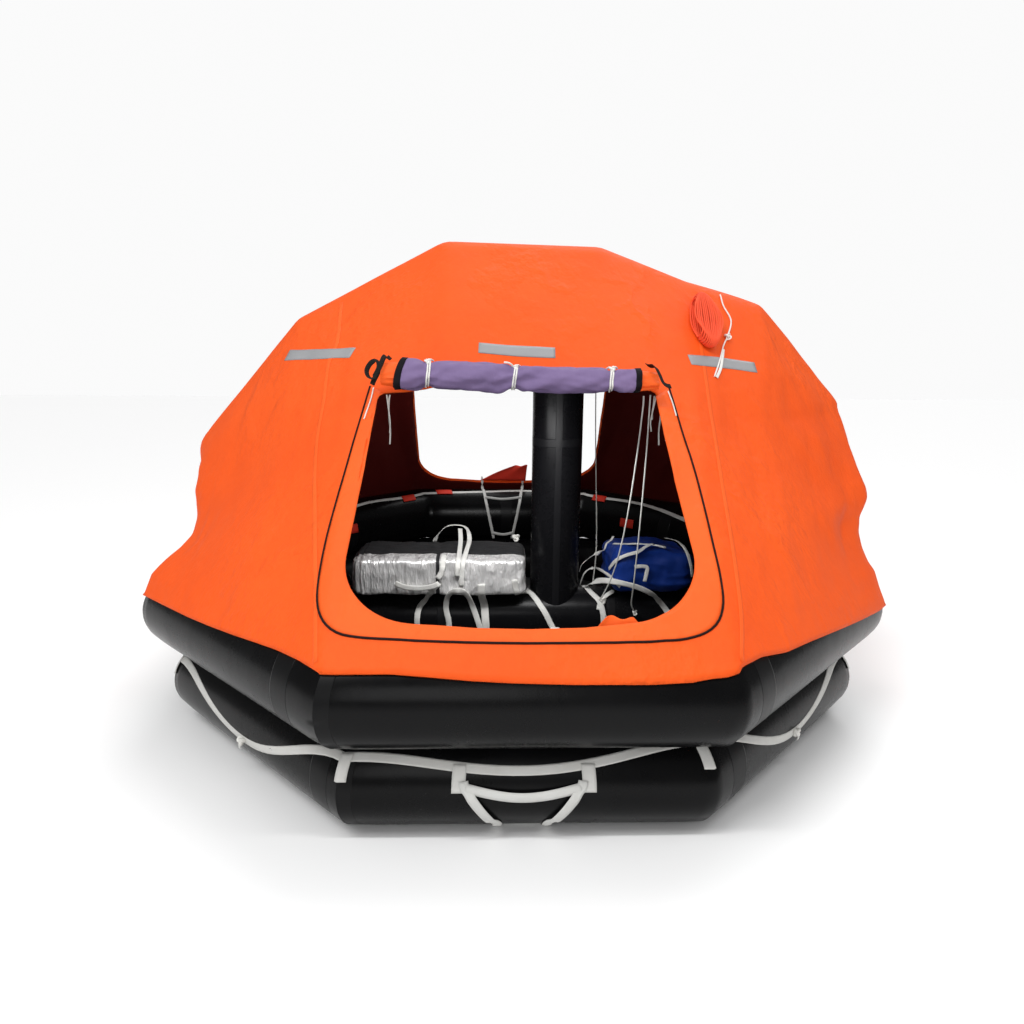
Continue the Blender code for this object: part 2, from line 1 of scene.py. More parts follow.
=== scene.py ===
import bpy
import bmesh
import json
from math import atan2, cos, exp, floor, pi, radians, sin, sqrt, tan
from mathutils import Matrix, Vector, noise
from mathutils.bvhtree import BVHTree

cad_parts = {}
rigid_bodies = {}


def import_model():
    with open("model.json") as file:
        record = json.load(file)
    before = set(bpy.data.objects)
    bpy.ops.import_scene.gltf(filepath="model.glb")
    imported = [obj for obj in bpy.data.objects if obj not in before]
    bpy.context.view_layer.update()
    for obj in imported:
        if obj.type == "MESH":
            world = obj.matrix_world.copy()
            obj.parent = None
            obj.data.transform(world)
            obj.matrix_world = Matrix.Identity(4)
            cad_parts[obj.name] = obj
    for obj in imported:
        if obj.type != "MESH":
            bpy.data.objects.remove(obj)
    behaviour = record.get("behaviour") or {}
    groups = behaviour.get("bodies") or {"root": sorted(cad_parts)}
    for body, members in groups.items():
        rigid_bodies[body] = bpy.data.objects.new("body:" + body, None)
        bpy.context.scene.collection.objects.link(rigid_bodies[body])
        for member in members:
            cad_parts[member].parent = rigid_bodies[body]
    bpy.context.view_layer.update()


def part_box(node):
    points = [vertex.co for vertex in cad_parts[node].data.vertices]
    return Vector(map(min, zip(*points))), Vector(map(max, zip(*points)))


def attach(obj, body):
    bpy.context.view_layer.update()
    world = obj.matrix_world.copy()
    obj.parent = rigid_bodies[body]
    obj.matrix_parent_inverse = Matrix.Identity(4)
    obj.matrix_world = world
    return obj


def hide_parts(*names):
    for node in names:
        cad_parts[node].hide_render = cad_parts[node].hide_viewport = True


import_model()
for item in list(bpy.data.objects):
    if item.type in {"CAMERA", "LIGHT"}:
        bpy.data.objects.remove(item, do_unlink=True)
front, back = -1, 1
ends = dict(front=front, back=back)
upward = Vector((0, 0, 1))


def addObject(name, data):
    made = bpy.data.objects.new(name, data)
    bpy.context.scene.collection.objects.link(made)
    return made


# camera, floor and light
view = dict(spot=(-0.1537, -3.7398, 1.6271), pitch=0.2198, yaw=0.0231, roll=0.0059, lens=25.257,
            shift=(0.01286, 0.00979))


def makeCamera():
    data = bpy.data.cameras.new("view")
    data.lens = view["lens"]
    data.sensor_width = 36
    data.shift_x, data.shift_y = view["shift"]
    data.clip_end = 100
    pitch, yaw, roll = view["pitch"], view["yaw"], view["roll"]
    ahead = Vector((sin(yaw) * cos(pitch), cos(yaw) * cos(pitch), -sin(pitch)))
    level = Vector((cos(yaw), -sin(yaw), 0))
    rise = level.cross(ahead)
    right = level * cos(roll) + rise * sin(roll)
    rise = rise * cos(roll) - level * sin(roll)
    turned = Matrix((right, rise, -ahead)).transposed().to_4x4()
    made = addObject("view", data)
    made.matrix_world = Matrix.Translation(view["spot"]) @ turned
    bpy.context.scene.camera = made


studio = dict(shown=0.962, strength=0.50, mirrored=0.17, floor=(0.955, 0.955, 0.955),
              # each sun's direction, power and angle
              suns=[("key", (-0.55, -0.42, 1.0), 0.95, 24), ("back", (0.30, 0.65, 1.0), 1.25, 45)],
              # each lamp's place, aim, size and power; the last one stands in the cabin
              lamps=[("strip", (0.0, -3.1, 4.9), (0, -1.4, 0.6), (6.0, 0.30), 100),
                     ("doorway", (-0.5, -4.6, 2.0), (0, -0.6, 0.6), (1.6, 1.6), 22),
                     ("cabin", (-0.10, -0.64, 1.26), (-0.10, -0.05, 0.50), (0.9, 0.22), 11)])


def makeGround():
    mesh = bmesh.new()
    bmesh.ops.create_grid(mesh, x_segments=2, y_segments=2, size=30)
    data = bpy.data.meshes.new("floor_plane")
    mesh.to_mesh(data)
    mesh.free()
    plain = bpy.data.materials.new("pale_floor")
    plain.use_nodes = True
    shader = plain.node_tree.nodes["Principled BSDF"]
    shader.inputs["Base Color"].default_value = (*studio["floor"], 1)
    shader.inputs["Roughness"].default_value = 0.7
    data.materials.append(plain)
    ground = addObject("floor_plane", data)
    ground.location.z = -0.0006


def makeWorld():
    world = bpy.data.worlds.new("studio")
    world.use_nodes = True
    nodes, links = world.node_tree.nodes, world.node_tree.links
    nodes["Background"].inputs[0].default_value = (1, 1, 1, 1)
    nodes["Background"].inputs[1].default_value = studio["strength"]
    rays = nodes.new("ShaderNodeLightPath")
    last = nodes["Background"].outputs[0]
    # a dim room for reflections, and a white paper behind the raft
    for ray, level in (("Is Glossy Ray", studio["mirrored"]), ("Is Camera Ray", studio["shown"])):
        light = nodes.new("ShaderNodeBackground")
        light.inputs[0].default_value = (level, level, level, 1)
        either = nodes.new("ShaderNodeMixShader")
        links.new(rays.outputs[ray], either.inputs[0])
        links.new(last, either.inputs[1])
        links.new(light.outputs[0], either.inputs[2])
        last = either.outputs[0]
    links.new(last, nodes["World Output"].inputs[0])
    bpy.context.scene.world = world
    bpy.context.scene.view_settings.view_transform = "Standard"


def addLamp(name, kind, power, way):
    lamp = bpy.data.lights.new(name, kind)
    lamp.energy = power
    made = addObject(name, lamp)
    made.rotation_euler = way.to_track_quat("-Z", "Y").to_euler()
    return lamp, made


def makeLamps():
    for name, way, power, angle in studio["suns"]:
        lamp, made = addLamp(name, "SUN", power, -Vector(way))
        lamp.angle = radians(angle)
    for name, spot, aim, size, power in studio["lamps"]:
        lamp, made = addLamp(name, "AREA", power, Vector(aim) - Vector(spot))
        lamp.shape = "RECTANGLE"
        lamp.size, lamp.size_y = size
        made.location = spot
        made.visible_camera = False


# materials
class Wire:
    # a shader socket that takes part in sums
    def __init__(self, finish, socket):
        self.finish = finish
        self.socket = socket

    def maths(self, kind, *others):
        return self.finish.node("ShaderNodeMath", dict(operation=kind), dict(enumerate((self,) + others)))

    def __add__(self, other):
        return self.maths("ADD", other)

    def __mul__(self, other):
        return self.maths("MULTIPLY", other)

    def __sub__(self, other):
        return self.maths("SUBTRACT", other)

    def __rsub__(self, other):
        return self * -1 + other

    def __truediv__(self, other):
        return self.maths("DIVIDE", other)

    def __abs__(self):
        return self.maths("ABSOLUTE")

    __radd__ = __add__
    __rmul__ = __mul__

    def clipped(self):
        return self.maths("MINIMUM", 1).maths("MAXIMUM", 0)

    def within(self, half, edge):
        # 1 inside a band around zero, 0 outside, with a soft edge
        return ((half - abs(self)) / edge + 0.5).clipped()


class Finish:
    def __init__(self, name, **plain):
        self.made = bpy.data.materials.new(name)
        self.made.use_nodes = True
        self.tree = self.made.node_tree
        self.shader = self.tree.nodes["Principled BSDF"]
        for key, value in plain.items():
            self.shader.inputs[key.replace("_", " ")].default_value = value

    def node(self, kind, settings={}, inputs={}, out=0):
        node = self.tree.nodes.new(kind)
        for key, value in settings.items():
            setattr(node, key, value)
        for key, value in inputs.items():
            if isinstance(value, Wire):
                self.tree.links.new(value.socket, node.inputs[key])
            else:
                node.inputs[key].default_value = value
        return Wire(self, node.outputs[out])

    def place(self):
        return self.node("ShaderNodeTexCoord", out="Object")

    def cloth(self, axis):
        spot = self.node("ShaderNodeUVMap", dict(uv_map="cloth"))
        return self.node("ShaderNodeSeparateXYZ", {}, {0: spot}, out=axis)

    def stretched(self, spot, stretch):
        return self.node("ShaderNodeMapping", {}, {"Vector": spot, "Scale": stretch})

    def grain(self, spot, scale, detail=3.0, rough=0.55, stretch=None):
        if stretch:
            spot = self.stretched(spot, stretch)
        inputs = {"Vector": spot, "Scale": scale, "Detail": detail, "Roughness": rough}
        return self.node("ShaderNodeTexNoise", {}, inputs)

    def wave(self, value, period):
        # a rounded ridge every period, from 0 to 1
        return (value * (2 * pi / period)).maths("SINE") * 0.5 + 0.5

    def blend(self, share, a, b):
        a, b = [v if isinstance(v, Wire) else (*v, 1) for v in (a, b)]
        return self.node("ShaderNodeMix", dict(data_type="RGBA"), {0: share, 6: a, 7: b}, out=2)

    def feed(self, bump, **wires):
        for key, value in wires.items():
            self.tree.links.new(value.socket, self.shader.inputs[key.replace("_", " ")])
        last = None
        for height, depth in bump:
            inputs = {"Height": height, "Distance": depth, "Strength": 1.0}
            if last:
                inputs["Normal"] = last
            last = self.node("ShaderNodeBump", {}, inputs)
        self.tree.links.new(last.socket, self.shader.inputs["Normal"])
        return self.made


def coatedCloth(name, deep, bright, rough, wear=0.06, crease=0.002, gloss=0.2, weave=0.0016):
    finish = Finish(name, Specular_IOR_Level=gloss)
    spot = finish.place()
    patch = finish.grain(spot, 1.7, 5, 0.6)
    fine = finish.grain(spot, 34, 3)
    threads = finish.wave(finish.cloth("X"), weave) * finish.wave(finish.cloth("Y"), weave)
    creases = finish.grain(spot, 6.5, 6, 0.62, (1, 1, 0.45))
    folds = finish.grain(spot, 2.6, 5, 0.55, (1, 1, 0.38))
    ridges = (1 - abs(folds - 0.5) * 14).clipped() * ((patch - 0.42) * 5).clipped()
    return finish.feed([(creases, crease), (ridges, crease * 0.9), (threads, 0.00012)],
                       Base_Color=finish.blend(patch * 0.75 + fine * 0.25, deep, bright),
                       Roughness=(patch * wear * 2 + (rough - wear)).clipped())


def flatFinish(name, colour, rough, metal=0.0, grain=60, depth=0.0004, vary=0.25, gloss=0.5):
    finish = Finish(name, Metallic=metal, Specular_IOR_Level=gloss)
    spot = finish.place()
    patch = finish.grain(spot, 5, 4)
    low = tuple(c * (1 - vary) for c in colour)
    high = tuple(min(1, c * (1 + vary)) for c in colour)
    return finish.feed([(finish.grain(spot, grain, 3), depth)],
                       Base_Color=finish.blend(patch, low, high),
                       Roughness=(patch * 0.2 + (rough - 0.1)).clipped())


web = dict(cord=0.0042, rib=0.0016, shade=(0.45, 0.43, 0.38))


def webbingFinish(name, colour, dirt=(0.40, 0.38, 0.33), gloss=0.25):
    finish = Finish(name, Specular_IOR_Level=gloss)
    u, v = finish.cloth("X"), finish.cloth("Y")
    period = web["rib"] * 1.4
    ribs = finish.wave(u + v * 0.5, period) * finish.wave(u - v * 0.5, period)
    soil = finish.grain(finish.place(), 9, 5, 0.65)
    colour = finish.blend(((soil - 0.45) * 1.6).clipped() * 0.45, colour, dirt)
    return finish.feed([(ribs, 0.0005), (finish.wave(v, web["cord"]), 0.0003)],
                       Base_Color=finish.blend(ribs * 0.12, colour, web["shade"]),
                       Roughness=soil * 0.15 + 0.72)


def rubberTube(name, colour, side, girth, tape):
    # side is the length of one side along the tube, girth its way round, tape half the corner tapes' width
    finish = Finish(name, Specular_IOR_Level=0.12)
    spot = finish.place()
    u, v = finish.cloth("X"), finish.cloth("Y")
    band = u.maths("PINGPONG", side / 2).within(tape, 0.003)
    joint = (v - girth * 0.62).within(0.018, 0.003)
    overlap = (band + joint).clipped()
    patch = finish.grain(spot, 2.2, 6, 0.62)
    dust = finish.grain(spot, 14, 6, 0.7)
    shade = finish.blend((patch * 0.9 + dust * 0.35 - 0.25).clipped(), colour,
                         tuple(c * 1.9 + 0.002 for c in colour))
    shade = finish.blend(overlap * 0.35, shade, tuple(c * 2.3 + 0.006 for c in colour))
    soft = finish.grain(spot, 7, 4, 0.5, (1, 1, 0.5))
    return finish.feed([(overlap, 0.0012), (soft, 0.0016), (finish.grain(spot, 260, 2), 0.00008)],
                       Base_Color=shade,
                       Roughness=(patch * 0.18 + dust * 0.10 + 0.13 + overlap * 0.10).clipped())


def foilFinish():
    finish = Finish("foil_skin", Metallic=0.55)
    spot = finish.place()
    patch = finish.grain(spot, 9, 4)
    streaks = finish.grain(spot, 11, 5, 0.6, (2.4, 1, 0.5))
    inputs = {"Vector": finish.stretched(spot, (1.3, 1, 0.8)), "Scale": 16}
    cells = finish.node("ShaderNodeTexVoronoi", dict(feature="F1"), inputs)
    return finish.feed([(streaks, 0.030), (cells, 0.006), (finish.grain(spot, 60, 4, 0.6), 0.0012)],
                       Base_Color=finish.blend(patch, (0.92, 0.91, 0.91), (1.0, 0.99, 0.98)),
                       Roughness=patch * 0.20 + 0.14)


finishes = {}


def makeFinishes():
    black = (0.0018, 0.0018, 0.0020)
    finishes.update(
        canopy=coatedCloth("canopy_cloth", (0.73, 0.066, 0.005), (0.92, 0.124, 0.014), 0.58,
                           wear=0.08, crease=0.008, gloss=0.16),
        # the facings' cloth is the canopy orange made lighter: a painted highlight where the folded facings
        # catch the light; the gore seams, flap ends and front sill flap share it
        facing=coatedCloth("facing_cloth_painted_highlight", (0.79, 0.086, 0.009), (0.94, 0.142, 0.020), 0.56,
                           wear=0.06, crease=0.006, gloss=0.18),
        # the inner face's dark red, darkened further as painted shade of the closed cabin
        lining=coatedCloth("lining_cloth_painted_shade", (0.075, 0.003, 0.002), (0.12, 0.006, 0.003), 0.8, 0.05),
        curtain=coatedCloth("curtain_cloth", (0.13, 0.088, 0.205), (0.26, 0.19, 0.35), 0.62, crease=0.008),
        bag=coatedCloth("bag_cloth", (0.003, 0.014, 0.10), (0.008, 0.040, 0.26), 0.5, 0.1, 0.008),
        pocket=coatedCloth("pocket_cloth", (0.010, 0.010, 0.011), (0.024, 0.024, 0.026), 0.7, crease=0.006),
        redPatch=coatedCloth("red_patch", (0.50, 0.02, 0.012), (0.72, 0.045, 0.02), 0.6),
        upperTube=rubberTube("upper_tube_skin", black, 1.375, 1.131, 0.045),
        lowerTube=rubberTube("lower_tube_skin", black, 1.30, 1.131, 0.045),
        frameTube=rubberTube("frame_tube_skin", (0.0030, 0.0030, 0.0036), 0.9, 0.9, 0.02),
        webbing=webbingFinish("white_webbing", (0.65, 0.645, 0.62)),
        ladder=webbingFinish("ladder_webbing", (0.62, 0.62, 0.60)),
        blackWeb=webbingFinish("black_webbing", (0.006, 0.0055, 0.0055), (0.012, 0.010, 0.010), 0.08),
        deck=flatFinish("deck_skin", (0.014, 0.014, 0.015), 0.75, grain=220, depth=0.0006),
        piping=flatFinish("piping_cord", (0.012, 0.004, 0.004), 0.6, gloss=0.15),
        blackBand=flatFinish("black_band", (0.007, 0.006, 0.008), 0.7, grain=400, gloss=0.12),
        cord=flatFinish("white_cord", (0.76, 0.75, 0.71), 0.8, grain=500, depth=0.0006, vary=0.12),
        rope=flatFinish("orange_rope", (0.86, 0.085, 0.022), 0.78, grain=420, depth=0.0009, vary=0.18),
        tape=flatFinish("grey_tape", (0.30, 0.305, 0.315), 0.42, grain=700, depth=0.0003, vary=0.12),
        cylinder=flatFinish("cylinder_paint", (0.075, 0.08, 0.075), 0.42, 0.2, 90, 0.0002),
        valve=flatFinish("valve_brass", (0.50, 0.34, 0.14), 0.34, 0.95, 300, 0.0001),
        foil=foilFinish())


# making a piece
def assign(made, replaces):
    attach(made, "root")
    if replaces:
        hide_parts(*([replaces] if isinstance(replaces, str) else replaces))


def keep(name, mesh, finish, replaces=(), slot=None, sharp=50, thick=None, inside=None):
    bmesh.ops.recalc_face_normals(mesh, faces=mesh.faces)
    data = bpy.data.meshes.new(name)
    mesh.to_mesh(data)
    mesh.free()
    data.shade_smooth()
    data.set_sharp_from_angle(angle=radians(sharp))
    data.materials.append(finishes[finish])
    made = addObject(name, data)
    if thick:
        shell = made.modifiers.new("wall", "SOLIDIFY")
        shell.thickness = thick
        shell.offset = -1
        shell.use_rim = True
        if inside:
            data.materials.append(finishes[inside])
            shell.material_offset = 1
    assign(made, replaces)
    return made


def sheetOf(across, down, shape, size):
    # a grid of cloth laid out by shape(u, v), with u and v from 0 to 1, and its cloth map in metres
    mesh = bmesh.new()
    cloth = mesh.loops.layers.uv.new("cloth")
    bmesh.ops.create_grid(mesh, x_segments=across, y_segments=down, size=0.5)
    for face in mesh.faces:
        for loop in face.loops:
            spot = loop.vert.co
            loop[cloth].uv = ((spot.x + 0.5) * size[0], (spot.y + 0.5) * size[1])
    for vert in mesh.verts:
        vert.co = shape(vert.co.x + 0.5, vert.co.y + 0.5)
    bmesh.ops.remove_doubles(mesh, verts=mesh.verts, dist=0.00002)
    return mesh


def closeEnds(mesh):
    bmesh.ops.holes_fill(mesh, edges=[e for e in mesh.edges if e.is_boundary], sides=0)
    return mesh


def joined(pieces):
    whole = pieces[0]
    for other in pieces[1:]:
        data = bpy.data.meshes.new("part")
        other.to_mesh(data)
        other.free()
        whole.from_mesh(data)
        bpy.data.meshes.remove(data)
    return whole


def distances(line):
    # how far along a line each of its points lies
    far = [0]
    for a, b in zip(line, line[1:]):
        far.append(far[-1] + (b - a).length)
    return far


def lengthOf(line):
    return distances(line)[-1]


def smoothLine(spots, count):
    # a smooth curve through the spots, read at even steps
    spots = [Vector(s) for s in spots]
    stops = [2 * spots[0] - spots[1]] + spots + [2 * spots[-1] - spots[-2]]
    fine = []
    for a, b, c, d in zip(stops, stops[1:], stops[2:], stops[3:]):
        for k in range(16):
            t = k / 16
            bend = (2 * a - 5 * b + 4 * c - d) * t * t
            fine.append(0.5 * (2 * b + (c - a) * t + bend + (3 * b - a - 3 * c + d) * t ** 3))
    fine.append(spots[-1])
    far = distances(fine)
    even, k = [], 0
    for n in range(count + 1):
        goal = far[-1] * n / count
        while k < len(fine) - 2 and far[k + 1] < goal:
            k += 1
        gap = far[k + 1] - far[k]
        even.append(fine[k].lerp(fine[k + 1], (goal - far[k]) / gap if gap else 0))
    return even


def evened(outs, reach=2):
    # each direction as the mean of its neighbours
    return [sum(outs[max(0, k - reach):k + reach + 1], Vector()).normalized() for k in range(len(outs))]


def treeOf(*pieces):
    # the faces of pieces as they stand now
    spots, faces = [], []
    graph = bpy.context.evaluated_depsgraph_get()
    for piece in pieces:
        mesh = piece.evaluated_get(graph).to_mesh()
        base = len(spots)
        spots += [v.co.copy() for v in mesh.vertices]
        faces += [[base + k for k in p.vertices] for p in mesh.polygons]
    return BVHTree.FromPolygons(spots, faces)


def ribbon(line, outs, width, camber=0.0, steps=4):
    # flat webbing along a line, its face turned to outs
    count = len(line) - 1
    runs = [(line[min(k + 1, count)] - line[max(k - 1, 0)]).normalized() for k in range(count + 1)]

    def shape(u, v):
        at = min(int(u * count), count - 1)
        share = u * count - at
        run = runs[at].lerp(runs[at + 1], share)
        side = outs[at].lerp(outs[at + 1], share).cross(run).normalized()
        out = run.cross(side).normalized()
        return line[at].lerp(line[at + 1], share) + side * width * (v - 0.5) - out * camber * (2 * v - 1) ** 2

    return sheetOf(count, steps, shape, (lengthOf(line), width))


def towards(normal, out):
    return normal if normal.dot(out) > 0 else -normal


def laidLine(tree, spots, outs, lift):
    # press a line onto a surface from outside
    line, ups = [], []
    for spot, out in zip(spots, outs):
        hit = tree.ray_cast(spot + out * 0.25, -out, 0.6)
        if hit[0] is None:
            hit = tree.find_nearest(spot)
        ups.append(towards(hit[1], out))
        line.append(hit[0] + ups[-1] * lift)
    return line, ups


def castOn(tree, side, spots):
    # where points given by x and z meet the cloth, from the front or from behind
    hits = [tree.ray_cast(Vector((x, side * 3, z)), Vector((0, -side, 0)))[0] for x, z in spots]
    return [hit for hit in hits if hit]


def strip(name, line, outs, width, finish, thick=0.002, **more):
    return keep(name, ribbon(line, outs, width), finish, thick=thick, **more)


def rope(name, line, radius, finish, closed=False, replaces=()):
    curve = bpy.data.curves.new(name, "CURVE")
    curve.dimensions = "3D"
    curve.bevel_depth = radius
    curve.bevel_resolution = 3
    curve.use_fill_caps = True
    spline = curve.splines.new("POLY")
    spline.points.add(len(line) - 1)
    for point, spot in zip(spline.points, line):
        point.co = (*spot, 1)
    spline.use_cyclic_u = closed
    curve.materials.append(finishes[finish])
    made = addObject(name, curve)
    assign(made, replaces)
    return made


def limpCord(made, line, radius):
    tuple(line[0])
    lengthOf(line)
    radius * 2


# the raft's main sizes, the same as the solids'
raft = dict(width=3.32, tube=0.18, sides=36, arch=0.135, pillar=0.131, thwart=0.16, wall=0.012, gap=0.0003)
facet = 2 * pi / raft["sides"]
tubeR = raft["tube"]
lowZ = tubeR * cos(facet / 2)
highZ = lowZ + (2 * tubeR + raft["gap"]) * sin(7.5 * facet)
highA = raft["width"] / 2 - lowZ
lowA = highA - (2 * tubeR + raft["gap"]) * cos(7.5 * facet)
seat = 0.115 + raft["gap"] + raft["thwart"]


def sideOf(apothem):
    return 2 * apothem * tan(radians(22.5))


def corner(k, apothem):
    turn = radians(-112.5 + 45 * k)
    return Vector((cos(turn), sin(turn), 0)) * (apothem / cos(radians(22.5)))


def onOctagon(place, apothem):
    # place counts the sides from the left front corner
    k = floor(place)
    return corner(k, apothem).lerp(corner(k + 1, apothem), place - k)


def onTube(place, angle, radius, apothem, height):
    spot = onOctagon(place, apothem + radius * cos(angle))
    spot.z = height + radius * sin(angle)
    return spot


def angleAt(height):
    # where on a tube a height above its middle lies
    return atan2(height, sqrt(max(tubeR ** 2 - height ** 2, 0.0)))


def readAt(stops, value):
    for (a, low), (b, high) in zip(stops, stops[1:]):
        if value <= b:
            return low + (high - low) * (value - a) / (b - a)
    return stops[-1][1]


def clamp(value, low=0, high=1):
    return min(high, max(low, value))


def bell(away, width):
    return exp(-(away / width) ** 2)


# the ridge of the canopy from left to right, with the arch tube under it
profile = [Vector((x, 0, z)) for x, z in ((-1.605, 0.60), (-1.605, 1.22), (-1.07, 1.83), (-0.34, 2.20),
                                          (0.42, 2.18), (1.21, 1.89), (1.615, 1.43), (1.615, 0.60))]
profileIn = raft["arch"] + 0.0022 + raft["wall"]


def profileSpot(station, inset):
    k = min(int(station), len(profile) - 2)

    def moved(n):
        outs = []
        for a, b in ((n - 1, n), (n, n + 1)):
            if a >= 0 and b < len(profile):
                run = (profile[b] - profile[a]).normalized()
                outs.append(Vector((-run.z, 0, run.x)))
        out = sum(outs, Vector()).normalized()
        return profile[n] - out * inset / out.dot(outs[0])

    return moved(k).lerp(moved(k + 1), station - k)


def profileOut(station):
    run = (profileSpot(min(7, station + 0.12), 0) - profileSpot(max(0, station - 0.12), 0)).normalized()
    return Vector((-run.z, 0, run.x))


def besideArch(station, angle):
    spot = profileSpot(station, profileIn - profileIn * cos(angle))
    spot.y = front * profileIn * sin(angle)
    return spot


# the canopy: one cloth from hem to hem
canopy = dict(across=232, down=92, start=-1.5, size=(5.5, 2.0), wrap=radians(38), hemAngle=radians(36),
              thick=0.009,
              # by station: how deep the cloth sags, and by side of the octagon: how far the hem reaches down
              sag=[(0, 0.0), (0.6, 0.0), (1, 0.06), (2, 0.045), (2.40, 0.02), (3.5, 0.03), (4.50, 0.02),
                   (5, 0.02), (6, -0.02), (7, 0.0)],
              hem=[(-1.5, -0.12), (-1, -0.16), (-0.83, -0.13), (-0.68, -0.10), (-0.55, -0.05), (-0.42, 0.02),
                   (-0.3, 0.10), (-0.2, 0.16), (-0.1, 0.18), (-0.02, 0.16), (0.03, 0.14), (0.17, 0.14),
                   (0.27, 0.08), (0.36, 0.02), (0.455, -0.02), (0.6, -0.05), (0.78, -0.055), (0.88, -0.02),
                   (0.925, 0.04), (0.97, 0.07), (1.02, 0.19), (1.13, 0.15), (1.25, -0.02), (1.4, -0.11),
                   (1.55, -0.22), (1.75, -0.36), (1.93, -0.46), (2.1, -0.42), (2.5, -0.15)],
              # by height: how far the sides hang in on the left and stand out on the right
              leftIn=[(0.4, 0), (0.69, 0), (0.73, 0.03), (0.78, 0.066), (0.825, 0.070), (0.885, 0.046),
                      (0.95, 0.023), (1.01, 0.014), (1.075, 0.030), (1.14, 0.032), (1.2, 0.01), (1.3, 0),
                      (2.4, 0)],
              rightOut=[(0.4, 0), (0.70, 0), (0.74, -0.02), (0.79, -0.034), (0.86, -0.034), (0.92, -0.014),
                        (0.96, 0.02), (1.0, 0.046), (1.06, 0.047), (1.13, 0.050), (1.27, 0.072),
                        (1.43, 0.055), (1.6, 0.03), (1.9, 0.0), (2.4, 0)],
              # the station that each place of the hem hangs from
              fall=[(-1.5, 0.2), (-1, 1), (-0.4, 2), (0, 2.40), (0.30, 3), (0.70, 4), (1, 4.50), (1.4, 5),
                    (2, 6), (2.5, 6.8)])


def sideShift(spot):
    # the loose cloth beside the arch hangs in on the left and stands out on the right
    if abs(spot.x) < 0.85:
        return Vector()
    top = 1.22 if spot.x < 0 else 1.43
    near = bell(abs(spot.y) - 0.69 * clamp((top - spot.z) / (top - 0.6)), 0.30)
    if spot.x < 0:
        return Vector((readAt(canopy["leftIn"], spot.z) * near, 0, 0))
    slope = sin(pi * clamp((spot.x - 0.85) / 0.8)) * bell(spot.y, 0.35) * 0.034 * 0.7 if spot.z > 1.40 else 0
    return Vector((readAt(canopy["rightOut"], spot.z) * near + slope, 0, slope))


def canopyColumn(place, station):
    # the pieces of one fall line of the front half: round the arch, down to the tube, onto the tube
    hemR = tubeR + 0.0009 + raft["wall"]
    high = profileSpot(station, profileIn)
    low = onOctagon(place, highA) + Vector((0, 0, highZ))
    low.y = -abs(low.y)
    reach = low - high
    outward = Vector((low.x, low.y, 0)).normalized()
    out = profileOut(station)
    off = 0.0
    if abs(reach.y) > 0.00001:
        off = max(atan2(-reach.dot(out), abs(reach.y)), canopy["wrap"] * min(station, 7 - station, 1))
    hem = canopy["hemAngle"] + readAt(canopy["hem"], place)
    onto = max(atan2(reach.dot(outward), -reach.z), hem + 0.05)
    lean = out * cos(off) + Vector((0, -sin(off), 0)) + outward * cos(onto) + Vector((0, 0, sin(onto)))
    start = besideArch(station, off)
    end = onTube(place, onto, hemR, highA, highZ)
    return dict(place=place, station=station, onto=onto, start=start, end=end, sagWay=-lean.normalized(),
                hemR=hemR, lengths=(profileIn * off, (end - start).length, hemR * (onto - hem)))


def onColumn(c, down):
    arch, fall, tube = c["lengths"]
    far = down * (arch + fall + tube)
    if far < arch:
        return besideArch(c["station"], far / profileIn)
    if far <= arch + fall:
        share = (far - arch) / fall
        sag = readAt(canopy["sag"], c["station"]) * sin(pi * clamp((share * 7 - 1) / 5)) ** 2
        return c["start"].lerp(c["end"], share) + c["sagWay"] * sag
    return onTube(c["place"], c["onto"] - (far - arch - fall) / c["hemR"], c["hemR"], highA, highZ)


def ripple(spot, place, down, side):
    # soft wrinkles: long pulls that fan out from the arch, puckers above the hem, and slow swells
    seed = 0 if side == front else 7
    pulls = noise.noise((place * 6.5, down * 1.1, seed)) * 0.014
    pulls += noise.noise((place * 17 + down * 3, down * 1.6 + 3, seed)) * 0.0085 * (0.3 + down)
    swell = noise.noise(spot * 1.9 + Vector((seed, 0, 0))) * 0.013
    pucker = noise.noise((place * 42, down * 4, seed + 9)) * 0.0042 * bell(down - 0.93, 0.07)
    crease = abs(noise.noise((place * 3.1 + down * 2.2, down * 5.2, seed + 4))) * -0.012
    crease += noise.noise((place * 4.5, down * 30, seed + 40)) * 0.0045 * bell(down - 0.87, 0.09)
    far = clamp((abs(place - 0.5) - 0.5) * 1.6) * (0.35 if place < 0.5 else 1)
    loose = noise.noise((place * 9, down * 5.5, seed + 21)) * 0.012 * far
    loose -= abs(noise.noise((place * 5 - down * 4, down * 2.5, seed + 30))) * 0.022 * far
    calm = clamp(min(place + 1.5, 2.5 - place) / 0.25)  # both halves meet at the sides
    return ((pulls + swell + crease + loose) * sin(pi * min(1, down * 1.04)) ** 0.7 + pucker) * calm


def canopyHalf(side):
    across, down = canopy["across"], canopy["down"]
    width, height = canopy["size"]
    places = [canopy["start"] + 4 * k / across for k in range(across + 1)]
    columns = [canopyColumn(place, readAt(canopy["fall"], place)) for place in places]
    mesh = sheetOf(across, down, lambda u, v: onColumn(columns[round(u * across)], v), (width, height))
    mesh.normal_update()
    # each point's place on the cloth comes back from its cloth map
    cloth = mesh.loops.layers.uv["cloth"]
    spots = {}
    for face in mesh.faces:
        for loop in face.loops:
            spots[loop.vert] = loop[cloth].uv.copy()
    for vert, spot in spots.items():
        out = towards(vert.normal, vert.co - Vector((0, 0, 0.9)))
        lift = ripple(vert.co, canopy["start"] + 4 * spot.x / width, spot.y / height, side)
        vert.co += out * lift + sideShift(vert.co)
        if side == back:
            vert.co.y = -vert.co.y
    return mesh


doorway = dict(top=1.272, topLeft=0.615, topRight=0.545, lowLeft=0.645, lowRight=0.588, sill=0.170,
               roundLow=0.275, roundTop=0.03, middle=0.72, spare=0.012, reach=0.7, depth=0.25, near=0.05)


